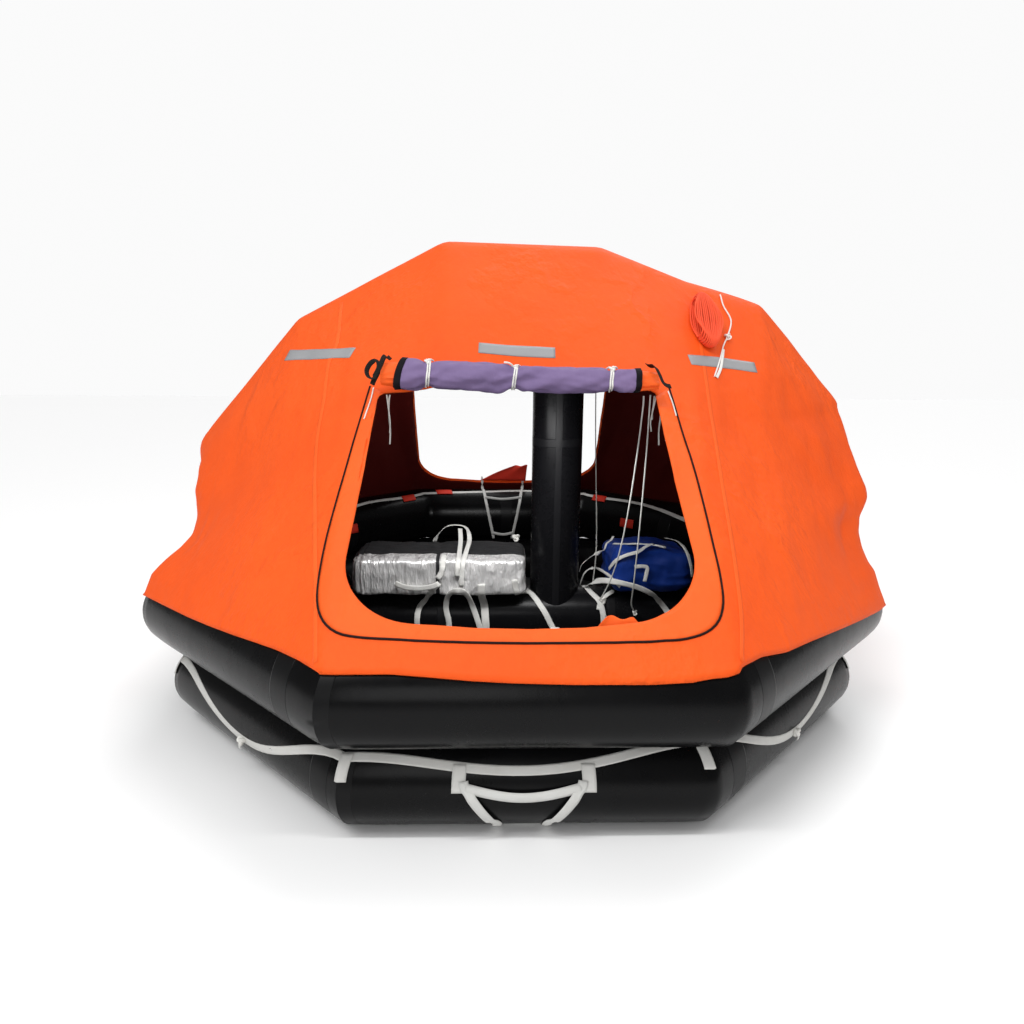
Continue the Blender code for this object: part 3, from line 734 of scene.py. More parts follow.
def stripFrame(side):
    # the plane of the strip with the doorway: x across, y up the cloth, z out of it
    c = canopyColumn(0.5, 3.5)
    up = (c["start"] - c["end"]).normalized()
    across = Vector((1, 0, 0))
    place = Matrix((across, up, across.cross(up))).transposed().to_4x4()
    place.translation = c["end"] - up * 0.02
    return Matrix.Rotation(pi, 4, "Z") @ place if side == back else place


def axisOf(place, axis):
    return place.to_3x3().col[axis].normalized()


def roundCorner(x, y, radius, start, end, steps):
    angles = [radians(start + (end - start) * k / steps) for k in range(steps + 1)]
    return [(x + radius * cos(angle), y + radius * sin(angle)) for angle in angles]


def doorLine():
    d = doorway

    def half(top, low):
        line = [(0.0, d["sill"]), (0.18, d["sill"] + 0.004)]
        line += roundCorner(low - d["roundLow"], d["sill"] + 0.02 + d["roundLow"], d["roundLow"], -80, 0, 14)
        return line + roundCorner(top - d["roundTop"], d["top"] - d["roundTop"], d["roundTop"], 0, 90, 6)

    left = [(-x, y) for x, y in reversed(half(d["topLeft"], d["lowLeft"])[1:])]
    return half(d["topRight"], d["lowRight"]) + [(0.0, d["top"])] + left


def evenLoop(outline, count):
    spots = [Vector((x, y, 0)) for x, y in outline + outline[:1]]
    far = distances(spots)
    loop, k = [], 0
    for n in range(count):
        goal = far[-1] * n / count
        while far[k + 1] < goal:
            k += 1
        loop.append(spots[k].lerp(spots[k + 1], (goal - far[k]) / (far[k + 1] - far[k])))
    return loop


def isInside(loop, x, y):
    inside = False
    for a, b in zip(loop, loop[1:] + loop[:1]):
        if (a.y > y) != (b.y > y) and x < (b.x - a.x) * (y - a.y) / (b.y - a.y) + a.x:
            inside = not inside
    return inside


def openDoor(mesh, side):
    # take the cloth out of a doorway and draw its edge onto the outline
    place = stripFrame(side)
    inv = place.inverted()
    middle = Vector((0, doorway["middle"], 0))
    loop = [p + (p - middle).normalized() * doorway["spare"] for p in evenLoop(doorLine(), 220)]
    gone = []
    for face in mesh.faces:
        spot = inv @ face.calc_center_median()
        beside = abs(spot.z) > doorway["depth"] or abs(spot.x) > doorway["reach"]
        if not beside and isInside(loop, spot.x, spot.y):
            gone.append(face)
    bmesh.ops.delete(mesh, geom=gone, context="FACES")
    for vert in mesh.verts:
        spot = inv @ vert.co
        if vert.is_boundary and abs(spot.z) < doorway["depth"]:
            near = min(loop, key=lambda p: (p.xy - spot.xy).length)
            if (near.xy - spot.xy).length < doorway["near"]:
                vert.co = place @ Vector((near.x, near.y, spot.z))


def clearOf(mesh, line, radius):
    # lift the cloth off a tube wherever it would sink in
    for vert in mesh.verts:
        near, best = None, radius
        for a, b in zip(line, line[1:]):
            run = b - a
            spot = a + run * clamp((vert.co - a).dot(run) / run.length_squared)
            if (vert.co - spot).length < best:
                near, best = spot, (vert.co - spot).length
        if near is not None:
            vert.co = near + (vert.co - near).normalized() * radius


def makeCanopy():
    mesh = joined([canopyHalf(front), canopyHalf(back)])
    bmesh.ops.remove_doubles(mesh, verts=[v for v in mesh.verts if v.is_boundary], dist=0.0008)
    for _ in range(2):
        bmesh.ops.smooth_vert(mesh, verts=[v for v in mesh.verts if not v.is_boundary], factor=0.5,
                              use_axis_x=True, use_axis_y=True, use_axis_z=True)
    for _ in range(3):
        clearOf(mesh, [profileSpot(k, profileIn) for k in range(8)], raft["arch"] + raft["wall"] + 0.001)
        clearOf(mesh, [corner(k, highA) + Vector((0, 0, highZ)) for k in range(9)], tubeR + raft["wall"])
    openDoor(mesh, front)
    openDoor(mesh, back)
    area = sum(face.calc_area() for face in mesh.faces)
    nodes = ["canopy_side_left", "canopy_side_right"]
    for name in ends:
        nodes += ["canopy_" + name, "canopy_gore_%s_left" % name, "canopy_gore_%s_right" % name]
    # the inner faces get the lining, whose darkness is partly painted shade of the cabin
    made = keep("canopy", mesh, "canopy", nodes, "canopy_orange", 180, canopy["thick"], "lining")
    print("canopy area", round(area, 3))
    return made


facing = dict(radius=0.0042, middle=0.80,
              # the piping, by x and height
              pipe=[(-0.630, 1.520), (-0.660, 1.36), (-0.687, 1.211), (-0.710, 1.08), (-0.724, 0.976),
                    (-0.727, 0.90), (-0.722, 0.835), (-0.700, 0.793), (-0.655, 0.764), (-0.58, 0.748),
                    (-0.422, 0.741), (-0.20, 0.735), (0.03, 0.732), (0.25, 0.733), (0.43, 0.736),
                    (0.545, 0.745), (0.62, 0.772), (0.662, 0.82), (0.675, 0.89), (0.676, 0.986),
                    (0.676, 1.10), (0.672, 1.217), (0.655, 1.36), (0.634, 1.520)])


def makeFacings(tree):
    # the band between the opening and the piping, and the piping itself
    loop = evenLoop(doorLine(), 400)

    def wayOf(spot):
        return atan2(spot.x, facing["middle"] - spot.y)

    for name, side in ends.items():
        place = stripFrame(side)
        inv = place.inverted()
        out = axisOf(place, 2)
        pipe = smoothLine(castOn(tree, side, [(-side * x, z) for x, z in facing["pipe"]]), 150)
        pipe, _ = laidLine(tree, pipe, [out] * len(pipe), 0.0022)
        rope("door_piping_" + name, pipe, facing["radius"], "piping")
        # the band's edges are matched by angle round the doorway's middle
        outer = [inv @ spot for spot in pipe]
        inner = []
        for spot in outer:
            way = wayOf(spot)
            inner.append(min(loop, key=lambda p: abs((wayOf(p) - way + pi) % (2 * pi) - pi)))
        count = len(outer) - 1

        def shape(u, v):
            at = min(int(u * count), count - 1)
            share = u * count - at
            edge = outer[at].lerp(outer[at + 1], share)
            flat = inner[at].lerp(inner[at + 1], share).lerp(Vector((edge.x, edge.y, 0)), v)
            hit = tree.ray_cast(place @ Vector((flat.x, flat.y, 0.3)), -out, 0.6)[0]
            if hit is None:
                hit = tree.find_nearest(place @ Vector((flat.x, flat.y, 0)))[0]
                hit = place @ Vector((flat.x, flat.y, (inv @ hit).z))
            return hit + out * 0.0026

        mesh = sheetOf(count, 7, shape, (4.0, 0.12))
        # the facing finish is lighter than the canopy cloth: painted highlight
        made = keep("door_facing_" + name, mesh, "facing", slot="canopy_orange", thick=0.002, sharp=180)


seams = dict(width=0.020,
             left=[(-0.838, 1.90), (-0.823, 1.71), (-0.848, 1.616), (-0.845, 1.463), (-0.834, 1.222),
                   (-0.728, 0.825), (-0.69, 0.68)],
             right=[(0.839, 1.728), (0.815, 1.45), (0.793, 1.21), (0.739, 0.825), (0.69, 0.68)])


def makeSeams(tree):
    # the welded strips where the gores meet the strip with the doorway
    for name, side in ends.items():
        for label in ("left", "right"):
            line = castOn(tree, side, smoothLine(seams[label], 70))
            line, outs = laidLine(tree, line, [Vector((0, side * 0.66, 0.75))] * len(line), 0.0012)
            strip("gore_seam_%s_%s" % (name, label), line, evened(outs), seams["width"], "facing",
                  thick=0.0009, sharp=80)


# tubes
def ringTube(name, apothem, height, finish, seed, swell=0.0016):
    steps, around = 8 * 30, 64
    side = sideOf(apothem)

    def shape(u, v):
        place, angle = 8 * u, 2 * pi * v
        share = place % 1
        pinch = bell(min(share, 1 - share) * side, 0.05)
        inner = max(0, -cos(angle))
        spot = Vector((cos(angle) * 2, sin(angle) * 2, place * 3 + seed))
        bumps = noise.noise(spot * 2.2) * 0.004 * pinch * (0.35 + 1.4 * inner)
        bumps += noise.noise(spot * 0.7) * 0.0009
        radius = tubeR + swell * (1 - pinch) - 0.0022 * pinch * (0.3 + inner) + bumps
        spot = onTube(place, angle, radius, apothem, height)
        spot.z = max(spot.z, 0.0006)  # it rests on the floor
        return spot

    mesh = sheetOf(steps, around, shape, (8 * side, 2 * pi * tubeR))
    keep(name + "_skin", mesh, finish, name, "tube_black", sharp=70)


def sleeve(name, spots, radius, finish, slot, replaces, around=48, dome=0.0, turn=0.0):
    # a tube along a line of spots, mitred at its bends, with domed ends where dome is over 0
    spots = [Vector(s) for s in spots]
    ways = [(b - a).normalized() for a, b in zip(spots, spots[1:])]
    planes = [ways[0]] + [(a + b).normalized() for a, b in zip(ways, ways[1:])] + [ways[-1]]
    far = distances(spots)
    total = far[-1]
    level = Vector((0, 1, 0)) if abs(ways[0].y) < 0.9 else Vector((1, 0, 0))

    def shape(u, v):
        k = 0
        while k < len(ways) - 1 and far[k + 1] < u * total - 1e-9:
            k += 1
        share = (u * total - far[k]) / (far[k + 1] - far[k])
        side = level.cross(ways[k]).normalized()
        angle = 2 * pi * v + turn
        ray = side * cos(angle) + ways[k].cross(side) * sin(angle)
        # the ring's point slides along the run to the plane at each end
        rays = [ray - ways[k] * (ray.dot(plane) / ways[k].dot(plane)) for plane in planes[k:k + 2]]
        end = min(u * total, total - u * total)
        shrink = sqrt(max(0.0, 1 - ((dome - end) / dome) ** 2)) if end < dome else 1
        wobble = 1 + noise.noise((u * total * 3, cos(angle), sin(angle))) * 0.006
        return spots[k].lerp(spots[k + 1], share) + rays[0].lerp(rays[1], share) * radius * shrink * wobble

    mesh = closeEnds(sheetOf(max(24, int(total / 0.02)), around, shape, (total, 2 * pi * radius)))
    keep(name, mesh, finish, replaces, slot, sharp=60)


def makeFrame():
    ringTube("upper_tube", highA, highZ, "upperTube", 3)
    ringTube("lower_tube", lowA, lowZ, "lowerTube", 11)
    foot, top = (0.235, 0, seat + 0.05), (0.235, 0, profileSpot(3.77, profileIn).z)
    ridge = [profileSpot(k, profileIn) for k in range(8)]
    bench = [(-1.27, 0, seat), (1.27, 0, seat)]
    sleeve("arch_skin", ridge, raft["arch"] - 0.0020, "frameTube", "frame_black", "arch")
    sleeve("pillar_skin", [foot, top], raft["pillar"] - 0.0008, "frameTube", "frame_black", "pillar",
           turn=0.4)
    sleeve("thwart_skin", bench, raft["thwart"] - 0.0006, "frameTube", "frame_black", "thwart", dome=0.05)


deck = dict(thick=0.028, top=0.0035, swell=0.0022, seams=0.48, seam=0.0024)


def makeDeck():
    # the floor between the tubes: two cloths with a little air between them, pressed in along welded seams
    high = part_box("floor")[1]

    def shape(u, v):
        spot = onOctagon(8 * u, high.x * v)
        seam = bell((spot.x + deck["seams"] / 2) % deck["seams"] - deck["seams"] / 2, 0.014)
        swell = noise.noise(spot * 2.3) * deck["swell"] + noise.noise(spot * 9) * deck["swell"] / 3
        spot.z = high.z - deck["top"] + swell - deck["seam"] * seam
        return spot

    mesh = sheetOf(8 * 22, 72, shape, (3.0, 1.3))
    made = keep("floor_skin", mesh, "deck", "floor", "floor_black", thick=deck["thick"], sharp=60)
    if made.data.polygons[0].normal.z < 0:
        made.data.flip_normals()


# soft blocks
def softBox(low, high, cuts, square, push):
    # a stuffed block: a subdivided cube pressed towards a rounded box, then pushed out by push(local, spot)
    mesh = bmesh.new()
    bmesh.ops.create_cube(mesh, size=2)
    bmesh.ops.subdivide_edges(mesh, edges=mesh.edges, cuts=cuts, use_grid_fill=True)
    middle = (Vector(low) + Vector(high)) / 2
    half = (Vector(high) - Vector(low)) / 2
    for vert in mesh.verts:
        p = vert.co / sum(abs(c) ** square for c in vert.co) ** (1 / square)
        spot = middle + p * half
        vert.co = spot + push(p, spot)
    # the cloth map follows the faces' own directions, in metres
    mesh.normal_update()
    cloth = mesh.loops.layers.uv.new("cloth")
    for face in mesh.faces:
        drop = max(range(3), key=lambda k: abs(face.normal[k]))
        a, b = [k for k in range(3) if k != drop]
        for loop in face.loops:
            loop[cloth].uv = (loop.vert.co[a], loop.vert.co[b])
    return mesh


def outOf(p, power=3):
    # away from the middle of a block, straight out of its faces
    return Vector([c ** power for c in p]).normalized()


# cords, at the places that the solids keep for them
cords = dict(radius=0.0035,
             tie=[(1.0, -0.075, 1.935), (1.006, -0.139, 1.887), (1.027, -0.20, 1.815), (0.99, -0.285, 1.745),
                  (0.955, -0.345, 1.70), (0.915, -0.431, 1.631), (0.87, -0.517, 1.566)],
             tail=[(0.545, -0.660, 1.488), (0.549, -0.662, 1.46), (0.55, -0.664, 1.40),
                   (0.547, -0.662, 1.34), (0.55, -0.664, 1.28)],
             line=[(0.530, -0.660, 1.488), (0.530, -0.655, 1.44), (0.527, -0.60, 1.24), (0.523, -0.50, 0.98),
                   (0.515, -0.37, 0.73), (0.50, -0.25, 0.555), (0.475, -0.158, 0.43),
                   (0.462, -0.118, 0.392)],
             second=[(0.560, -0.652, 1.492), (0.560, -0.648, 1.44), (0.567, -0.60, 1.22),
                     (0.578, -0.51, 0.96), (0.59, -0.41, 0.72), (0.602, -0.31, 0.52), (0.615, -0.225, 0.41),
                     (0.64, -0.185, 0.352)],
             # the other strands of both tails: where they hang, how they sway and how far they drop
             strands=[(-0.558, 0.012, 0.16), (0.622, 0.016, 0.19), (0.583, -0.020, 0.15),
                      (0.574, -0.006, 0.10)])


def freeCord(node, line):
    made = rope(node + "_cord", line, cords["radius"], "cord", replaces=node)
    limpCord(made, line, cords["radius"])


def knot(name, spot, size, radius, finish="cord", way=(0, 0, 1)):
    # an overhand knot drawn tight
    turn = Vector(way).to_track_quat("Z", "Y").to_matrix()
    line = []
    for k in range(40):
        t = 2 * pi * k / 40
        p = Vector((sin(t) + 2 * sin(2 * t), cos(t) - 2 * cos(2 * t), -sin(3 * t) * 1.3)) / 3
        line.append(Vector(spot) + turn @ (p * size))
    return rope(name, line, radius, finish, closed=True)


def makeCords():
    freeCord("door_tail_left", smoothLine([(-x, y, z) for x, y, z in cords["tail"]], 26))
    freeCord("door_tail_right", smoothLine([(x + 0.055, y, z) for x, y, z in cords["tail"]], 26))
    for n, (x, sway, drop) in enumerate(cords["strands"]):
        route = [(x, -0.664, 1.488), (x + sway * 0.4, -0.668, 1.45), (x + sway, -0.668, 1.488 - drop * 0.7),
                 (x + sway * 0.7, -0.664, 1.488 - drop)]
        line = smoothLine(route, 22)
        limpCord(rope("tail_strand_%d" % n, line, 0.003, "cord"), line, 0.003)
    freeCord("entry_line_front", smoothLine(cords["line"], 60))
    line = smoothLine(cords["second"], 60)
    end = knot("entry_knot", line[-1] + Vector((0.004, -0.004, -0.004)), 0.013, 0.0034, way=(0.3, -1, 0.4))
    freeCord("entry_line_second", line)
    freeCord("entry_line_back", smoothLine([(x, -y, z) for x, y, z in cords["line"]], 60))


hank = dict(at=(0.872, -0.285, 1.80), up=(0.03, 0.72, 0.68), out=(0.31, -0.66, 0.68), turns=14, length=0.350,
            width=0.158, radius=0.0035, bend=0.0235, narrow=0.33, run=8, half=12)


def makeHank(tree):
    # turns laid side by side, a little wavy, drawn in towards both ends
    out = Vector(hank["out"]).normalized()
    across = Vector(hank["up"]).cross(out).normalized()
    up = out.cross(across)
    base = tree.ray_cast(Vector(hank["at"]) + out * 0.3, -out)[0]
    # one turn as steps along it: its place on the straight runs, how far past them, and its height
    run, half, bend = hank["run"], hank["half"], hank["bend"]
    ways = [pi * n / half for n in range(half)]
    turn = [(2 * n / run - 1, 0, bend) for n in range(run)]
    turn += [(1, bend * sin(way), bend * cos(way)) for way in ways]
    turn += [(1 - 2 * n / run, 0, -bend) for n in range(run)]
    turn += [(-1, -bend * sin(way), -bend * cos(way)) for way in ways]
    steps = hank["turns"] * len(turn)
    spots = []
    for k in range(steps + 1):
        place, past, height = turn[k % len(turn)]
        x = 2 * k / steps - 1
        straight = hank["length"] / 2 * sqrt(1 - (0.78 * x) ** 2) - bend
        beside = x * hank["width"] / 2 * (1 - hank["narrow"] * place ** 2) + 0.005 * sin(2.6 * place + 0.8)
        loose = 0.0016 * sin(1.9 * (k // len(turn))) * (1 - place ** 2)
        lift = height + loose + bend + hank["radius"]
        spots.append(base + across * beside + up * (place * straight + past) + out * lift)
    # lift the whole hank so that it lies on the cloth
    low = min((spot - (tree.ray_cast(spot + out * 0.3, -out)[0] or spot)).dot(out) for spot in spots)
    spots = [spot + out * (hank["radius"] + 0.0008 - low) for spot in spots]
    made = rope("line_hank_rope", spots, hank["radius"], "rope", replaces="line_hank")
    limpCord(made, spots, hank["radius"])
    tie, _ = laidLine(tree, smoothLine(cords["tie"], 40), [out] * 41, 0.0042)
    freeCord("hank_tie", tie)
    # the tie's knot, and the doubled end beside it
    knot("hank_bow", tie[20] + out * 0.008, 0.017, 0.0036, way=out)
    tape = [tie[k] + across * shift for k, shift in ((26, 0.004), (30, 0.010), (35, 0.016), (40, 0.012))]
    tape, outs = laidLine(tree, smoothLine(tape, 14), [out] * 15, 0.005)
    strip("hank_tape_end", tape, outs, 0.014, "cord", thick=0.0012)


# rolled curtains over the doorways
roll = dict(half=0.486, ties=(-0.376, -0.024, 0.371), pinch=0.26, slant=0.022,
            radius=[(-0.6, 0.066), (-0.30, 0.064), (0.0, 0.058), (0.30, 0.055), (0.6, 0.050)],
            drop=[(-0.6, 0.004), (-0.30, 0.008), (0.0, 0.020), (0.30, 0.026), (0.6, 0.022)],
            # the ends of each tie's cord, as a step along the roll and an angle round it
            tips=[[(0.020, 0.30), (-0.010, 0.55)], [(-0.045, 1.35), (0.022, 0.25)],
                  [(-0.020, 0.45), (0.026, 0.35)]],
            # the left loop and the right strap, as steps to the side, up and outwards from the roll's middle
            loopLeft=[(-0.547, 0.150, -0.052), (-0.548, 0.106, -0.018), (-0.551, 0.050, 0.046),
                      (-0.562, -0.010, 0.054), (-0.582, -0.056, 0.040), (-0.606, -0.046, 0.026),
                      (-0.620, -0.006, 0.020), (-0.610, 0.032, 0.022), (-0.590, 0.046, 0.028),
                      (-0.574, 0.026, 0.030), (-0.572, -0.014, 0.028), (-0.584, -0.052, 0.022),
                      (-0.592, -0.075, 0.014)],
            loopRight=[(0.540, 0.135, -0.042), (0.542, 0.095, -0.010), (0.548, 0.040, 0.042),
                       (0.560, -0.004, 0.046), (0.574, -0.040, 0.034), (0.592, -0.046, 0.022),
                       (0.610, -0.040, 0.012)])


def makeRoll(name, side):
    low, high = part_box("door_roll_" + name)
    middle = (low + high) / 2
    place = stripFrame(side)
    up, out = axisOf(place, 1), axisOf(place, 2)
    seed = 1 if side == front else 8

    def centre(x):
        # the thinner end lies as close to the cloth as the thick one
        sunk = out * ((high.z - low.z) / 2 - readAt(roll["radius"], x))
        return Vector((-side * x, middle.y, middle.z)) - up * readAt(roll["drop"], x) - sunk

    def radiusAt(x, angle):
        pinch = sum(bell(x - t, 0.026) for t in roll["ties"])
        fan = 0.0
        for n, t in enumerate(roll["ties"]):
            away = (x - t) / 0.11
            spot = (angle * 1.5 + away * 1.3, n * 5 + (0 if x < t else 2.5), seed)
            fan += exp(-abs(away)) * noise.noise(spot) * 0.020
        folds = noise.noise((x * 6, cos(angle) * 1.6, sin(angle) * 1.6 + seed)) * 0.009
        folds += noise.noise((x * 15 + sin(angle) * 2, cos(angle) * 2.6, sin(angle) * 2.6 + seed)) * 0.0045
        lap = ((angle - 1.2 - 0.25 * sin(x * 4)) % (2 * pi)) / (2 * pi)
        full = readAt(roll["radius"], x) * (1 - roll["pinch"] * pinch)
        full += folds + fan * (1 - 0.6 * min(1, pinch)) + 0.006 * (0.5 - lap)
        return full * (1 - 0.10 * abs(sin(angle)))

    def around(x, angle, grow=0.0):
        slant = roll["slant"] * cos(angle) * bell(x + roll["half"], 0.05)
        ray = up * cos(angle) + out * sin(angle)
        return centre(x) + Vector((-side * slant, 0, 0)) + ray * (radiusAt(x, angle) + grow)

    mesh = closeEnds(sheetOf(170, 56, lambda u, v: around(roll["half"] * (2 * u - 1), 2 * pi * v),
                             (1.0, 0.4)))
    made = keep("rolled_curtain_" + name, mesh, "curtain", "door_roll_" + name, "curtain_purple", sharp=60)
    for label, at, route in (("left", -1, "loopLeft"), ("right", 1, "loopRight")):
        def binding(u, v):
            # the bound edge of the curtain
            return around(roll["half"] * at * (0.955 + 0.05 * u), 2 * pi * v, 0.0018)

        def flap(u, v):
            # the orange end of its flap beyond it
            x = at * (roll["half"] - 0.004 + 0.082 * u)
            angle = 2 * pi * v
            r = readAt(roll["radius"], x) * (0.90 - 0.16 * u)
            r += noise.noise((x * 10, cos(angle) * 3, sin(angle) * 3 + seed)) * 0.012
            slant = roll["slant"] * cos(angle) * (1 - u) * (1 if at < 0 else 0)
            ray = up * cos(angle) + out * sin(angle) * (0.75 - 0.25 * u)
            return centre(x) + Vector((-side * slant, 0, 0)) + ray * r

        mesh = sheetOf(4, 56, binding, (0.03, 0.4))
        keep("curtain_binding_%s_%s" % (name, label), mesh, "blackBand", thick=0.002, sharp=80)
        mesh = closeEnds(sheetOf(14, 48, flap, (0.09, 0.4)))
        keep("flap_end_%s_%s" % (name, label), mesh, "facing", slot="canopy_orange")
        # the black webbing that holds this end
        line = [centre(x) + up * rise + out * off for x, rise, off in roll[route]]
        line = smoothLine(line, 70 if at < 0 else 30)
        outs = [(out + Vector((-side, 0, 0)) * 0.75).normalized()] * len(line)
        strip("roll_loop_%s_%s" % (name, label), line, outs, 0.020, "blackWeb", thick=0.0024)
    # the ties: tight turns of cord round each waist, with a knot and two ends
    for n, at in enumerate(roll["ties"]):
        for m, shift in enumerate((-0.004, 0.005)):
            line = [around(at + shift + 0.006 * sin(k * pi / 16 + n), 2 * pi * k / 32, 0.0030)
                    for k in range(32)]
            rope("curtain_tie_%s_%d_%d" % (name, n, m), line, 0.0036, "cord", closed=True)
        face = around(at, 1.05, 0.008)
        knot("curtain_knot_%s_%d" % (name, n), face, 0.012, 0.0038, way=out)
        for m, (step, angle) in enumerate(roll["tips"][n]):
            tip = around(at + step, angle, 0.010)
            line = smoothLine([face, face.lerp(tip, 0.5) + out * 0.010, tip], 8)
            rope("curtain_end_%s_%d_%d" % (name, n, m), line, 0.0034, "cord")


# grey reflective tapes on the cloth
tapes = dict(width=0.060, lift=0.0016,
             left=[(-1.085, 1.650), (-0.91, 1.655), (-0.735, 1.662)],
             middle=[(-0.172, 1.684), (-0.02, 1.672), (0.158, 1.664)],
             right=[(0.760, 1.640), (0.93, 1.627), (1.110, 1.606)])


def makeTapes(tree):
    for name, side in ends.items():
        out = Vector((0, side * 0.6, 0.75))
        for label in ("left", "middle", "right"):
            line = castOn(tree, side, smoothLine(tapes[label], 24))
            line, outs = laidLine(tree, line, [out] * len(line), tapes["lift"])
            mesh = ribbon(line, evened(outs, 3), tapes["width"], steps=5)
            for vert in mesh.verts:
                spot, normal = tree.find_nearest(vert.co)[:2]
                vert.co = spot + towards(normal, out) * tapes["lift"]
            keep("grey_tape_%s_%s" % (name, label), mesh, "tape", thick=0.0009, sharp=80)


# webbing on the tubes
lifeline = dict(width=0.033, corners=[0.308, 0.338, 0.304, 0.292] * 2 + [0.308], front=0.052, slack=0.150)


def lineHeight(side, share):
    slack = lifeline["front"] if side in (0, 4) else lifeline["slack"]
    low, high = lifeline["corners"][side:side + 2]
    return low + (high - low) * share - slack * sin(pi * share) ** 2 - lowZ


def makeLifeline():
    def shape(u, v):
        place = 8 * u
        level = lineHeight(int(place) % 8, place % 1) + noise.noise((place * 2.4, 3, 0)) * 0.004
        lift = 0.0022 + 0.0035 * abs(noise.noise((place * 3, 8, 0)))
        angle = angleAt(level) + (v - 0.5) * lifeline["width"] / tubeR
        return onTube(place, angle, tubeR + lift, lowA, lowZ)

    mesh = sheetOf(8 * 26, 5, shape, (10.4, lifeline["width"]))
    keep("lifeline_webbing", mesh, "webbing", "lifeline", "webbing_white", thick=0.0022, sharp=80)


def makeTab(name, place, top, bottom, wide):
    # a sewn tab that holds the line to the tube
    def tab(u, v):
        angle = angleAt(top + (bottom - top) * u - lowZ)
        return onTube(place + (v - 0.5) * wide / sideOf(lowA), angle, tubeR + 0.0058 - 0.002 * u, lowA, lowZ)

    mesh = sheetOf(10, 4, tab, (abs(top - bottom), wide))
    keep(name, mesh, "webbing", slot="webbing_white", thick=0.0022, sharp=80)


def makeTabs():
    for k in range(8):
        level = lifeline["corners"][k]
        makeTab("line_tab_%d" % k, (k + (-0.010 if k % 2 else 0.008)) % 8, level + 0.008, level - 0.068,
                0.040)
    for name, middle in (("front", 0.5), ("back", 4.5)):
        for label, x in (("left", -0.208), ("right", 0.186)):
            makeTab("ladder_tab_%s_%s" % (name, label), middle + x / sideOf(lowA), 0.288, 0.202, 0.042)
    for k in (1, 2, 3, 5, 6, 7):
        angle = angleAt(lineHeight(k, 0.5))
        spot = onTube(k + 0.5, angle, tubeR + 0.012, lowA, lowZ)
        out = (onTube(k + 0.5, angle, 1.2, lowA, lowZ) - onTube(k + 0.5, angle, 0.2, lowA, lowZ)).normalized()
        knot("line_knot_%d" % k, spot, 0.015, 0.0065, way=out)
        tail = [spot + out * off - upward * drop
                for off, drop in ((0.004, 0), (0.010, 0.014), (0.008, 0.030))]
        strip("line_knot_end_%d" % k, smoothLine(tail, 8), [out] * 9, 0.018, "webbing", slot="webbing_white")


ladder = dict(web=0.034, middle=-0.015, rise=0.0072,
              # half the ladder's width by degrees round the tube
              half=[(-90, 0.088), (-39, 0.088), (-5, 0.160), (14, 0.200), (34, 0.212)],
              # each rung's place in degrees, and how far it sags
              rungs=[(13, -9), (-73, -1)])


def makeBoardingLadder(name, side):
    def on(share, degrees, reach, lift):
        # share runs from -1 at the left web to 1 at the right one
        x = ladder["middle"] + share * readAt(ladder["half"], reach)
        radius, angle = tubeR + lift, radians(degrees)
        return Vector((-side * x, side * (lowA + radius * cos(angle)),
                       max(0.0016, lowZ + radius * sin(angle))))

    def web(spots, steps, camber):
        line = smoothLine(spots, steps)
        outs = [Vector((0, p.y - side * lowA, p.z - lowZ)).normalized() for p in line]
        return ribbon(line, outs, ladder["web"], camber=camber)

    pieces = []
    for share in (-1, 1):
        spots = [on(share, d, d, ladder["rise"] + (0.010 if -30 < d < 8 else 0.002))
                 for d in range(20, -80, -6)]
        pieces.append(web(spots, 40, 0.002))
    for at, sag in ladder["rungs"]:
        spots = []
        for k in range(13):
            bow = sin(pi * k / 12)
            spots.append(on(k / 6 - 1, at + sag * bow, at, ladder["rise"] + 0.012 * bow + 0.002))
        pieces.append(web(spots, 36, 0.004))
    keep("boarding_ladder_%s_webbing" % name, joined(pieces), "ladder", "boarding_ladder_" + name,
         "ladder_web", thick=0.0024, sharp=80)


innerLadder = dict(middle=-0.008, rise=0.0075,
                   # the webs over the tube, by half the ladder's width and degrees, then down to the floor
                   over=[(0.146, 84), (0.140, 100), (0.132, 118), (0.122, 140)],
                   down=[(1.318, 0.62), (1.300, 0.55), (1.297, 0.47), (1.296, 0.38)],
                   # each rung's depth, height and width
                   rungs=[(1.352, 0.672, 0.016), (1.288, 0.425, 0.018)])


def makeInnerLadder():
    middle, radius = innerLadder["middle"], tubeR + innerLadder["rise"]
    pieces = []
    for sign in (-1, 1):
        spots = [Vector((middle + sign * 0.150, 1.512, 0.800))]
        for half, degrees in innerLadder["over"]:
            angle = radians(degrees)
            spots.append(Vector((middle + sign * half, highA + radius * cos(angle),
                                 highZ + radius * sin(angle))))
        for y, z in innerLadder["down"]:
            spots.append(Vector((middle + sign * (0.066 + (z - 0.385) * 0.21), y, z)))
        line = smoothLine(spots, 50)
        outs = [Vector((0, p.y - highA, p.z - highZ)).normalized() if p.z > highZ else Vector((0, -1, 0))
                for p in line]
        pieces.append(ribbon(line, outs, 0.020, camber=0.001))
    for y, z, wide in innerLadder["rungs"]:
        reach = 0.068 + (z - 0.385) * 0.21
        spots = [(middle - reach, y, z), (middle, y - 0.008, z - 0.012), (middle + reach, y, z)]
        pieces.append(ribbon(smoothLine(spots, 24), [Vector((0, -1, 0))] * 25, wide, camber=0.003))
    keep("inner_ladder_webbing", joined(pieces), "ladder", "inner_ladder_back", "ladder_web", thick=0.0024,
         sharp=80)


grab = dict(width=0.025, heights=[0.650, 0.650, 0.600, 0.600, 0.690, 0.690, 0.610, 0.600, 0.650],
            rises=[0.035, -0.02, -0.03, 0.035, 0.010, 0.035, -0.03, -0.02],
            # the patches of one side, as its share and the height, and their size
            patches=[(0.13, 0.150), (0.62, 0.030), (0.87, 0.150)], patch=(0.105, 0.056))


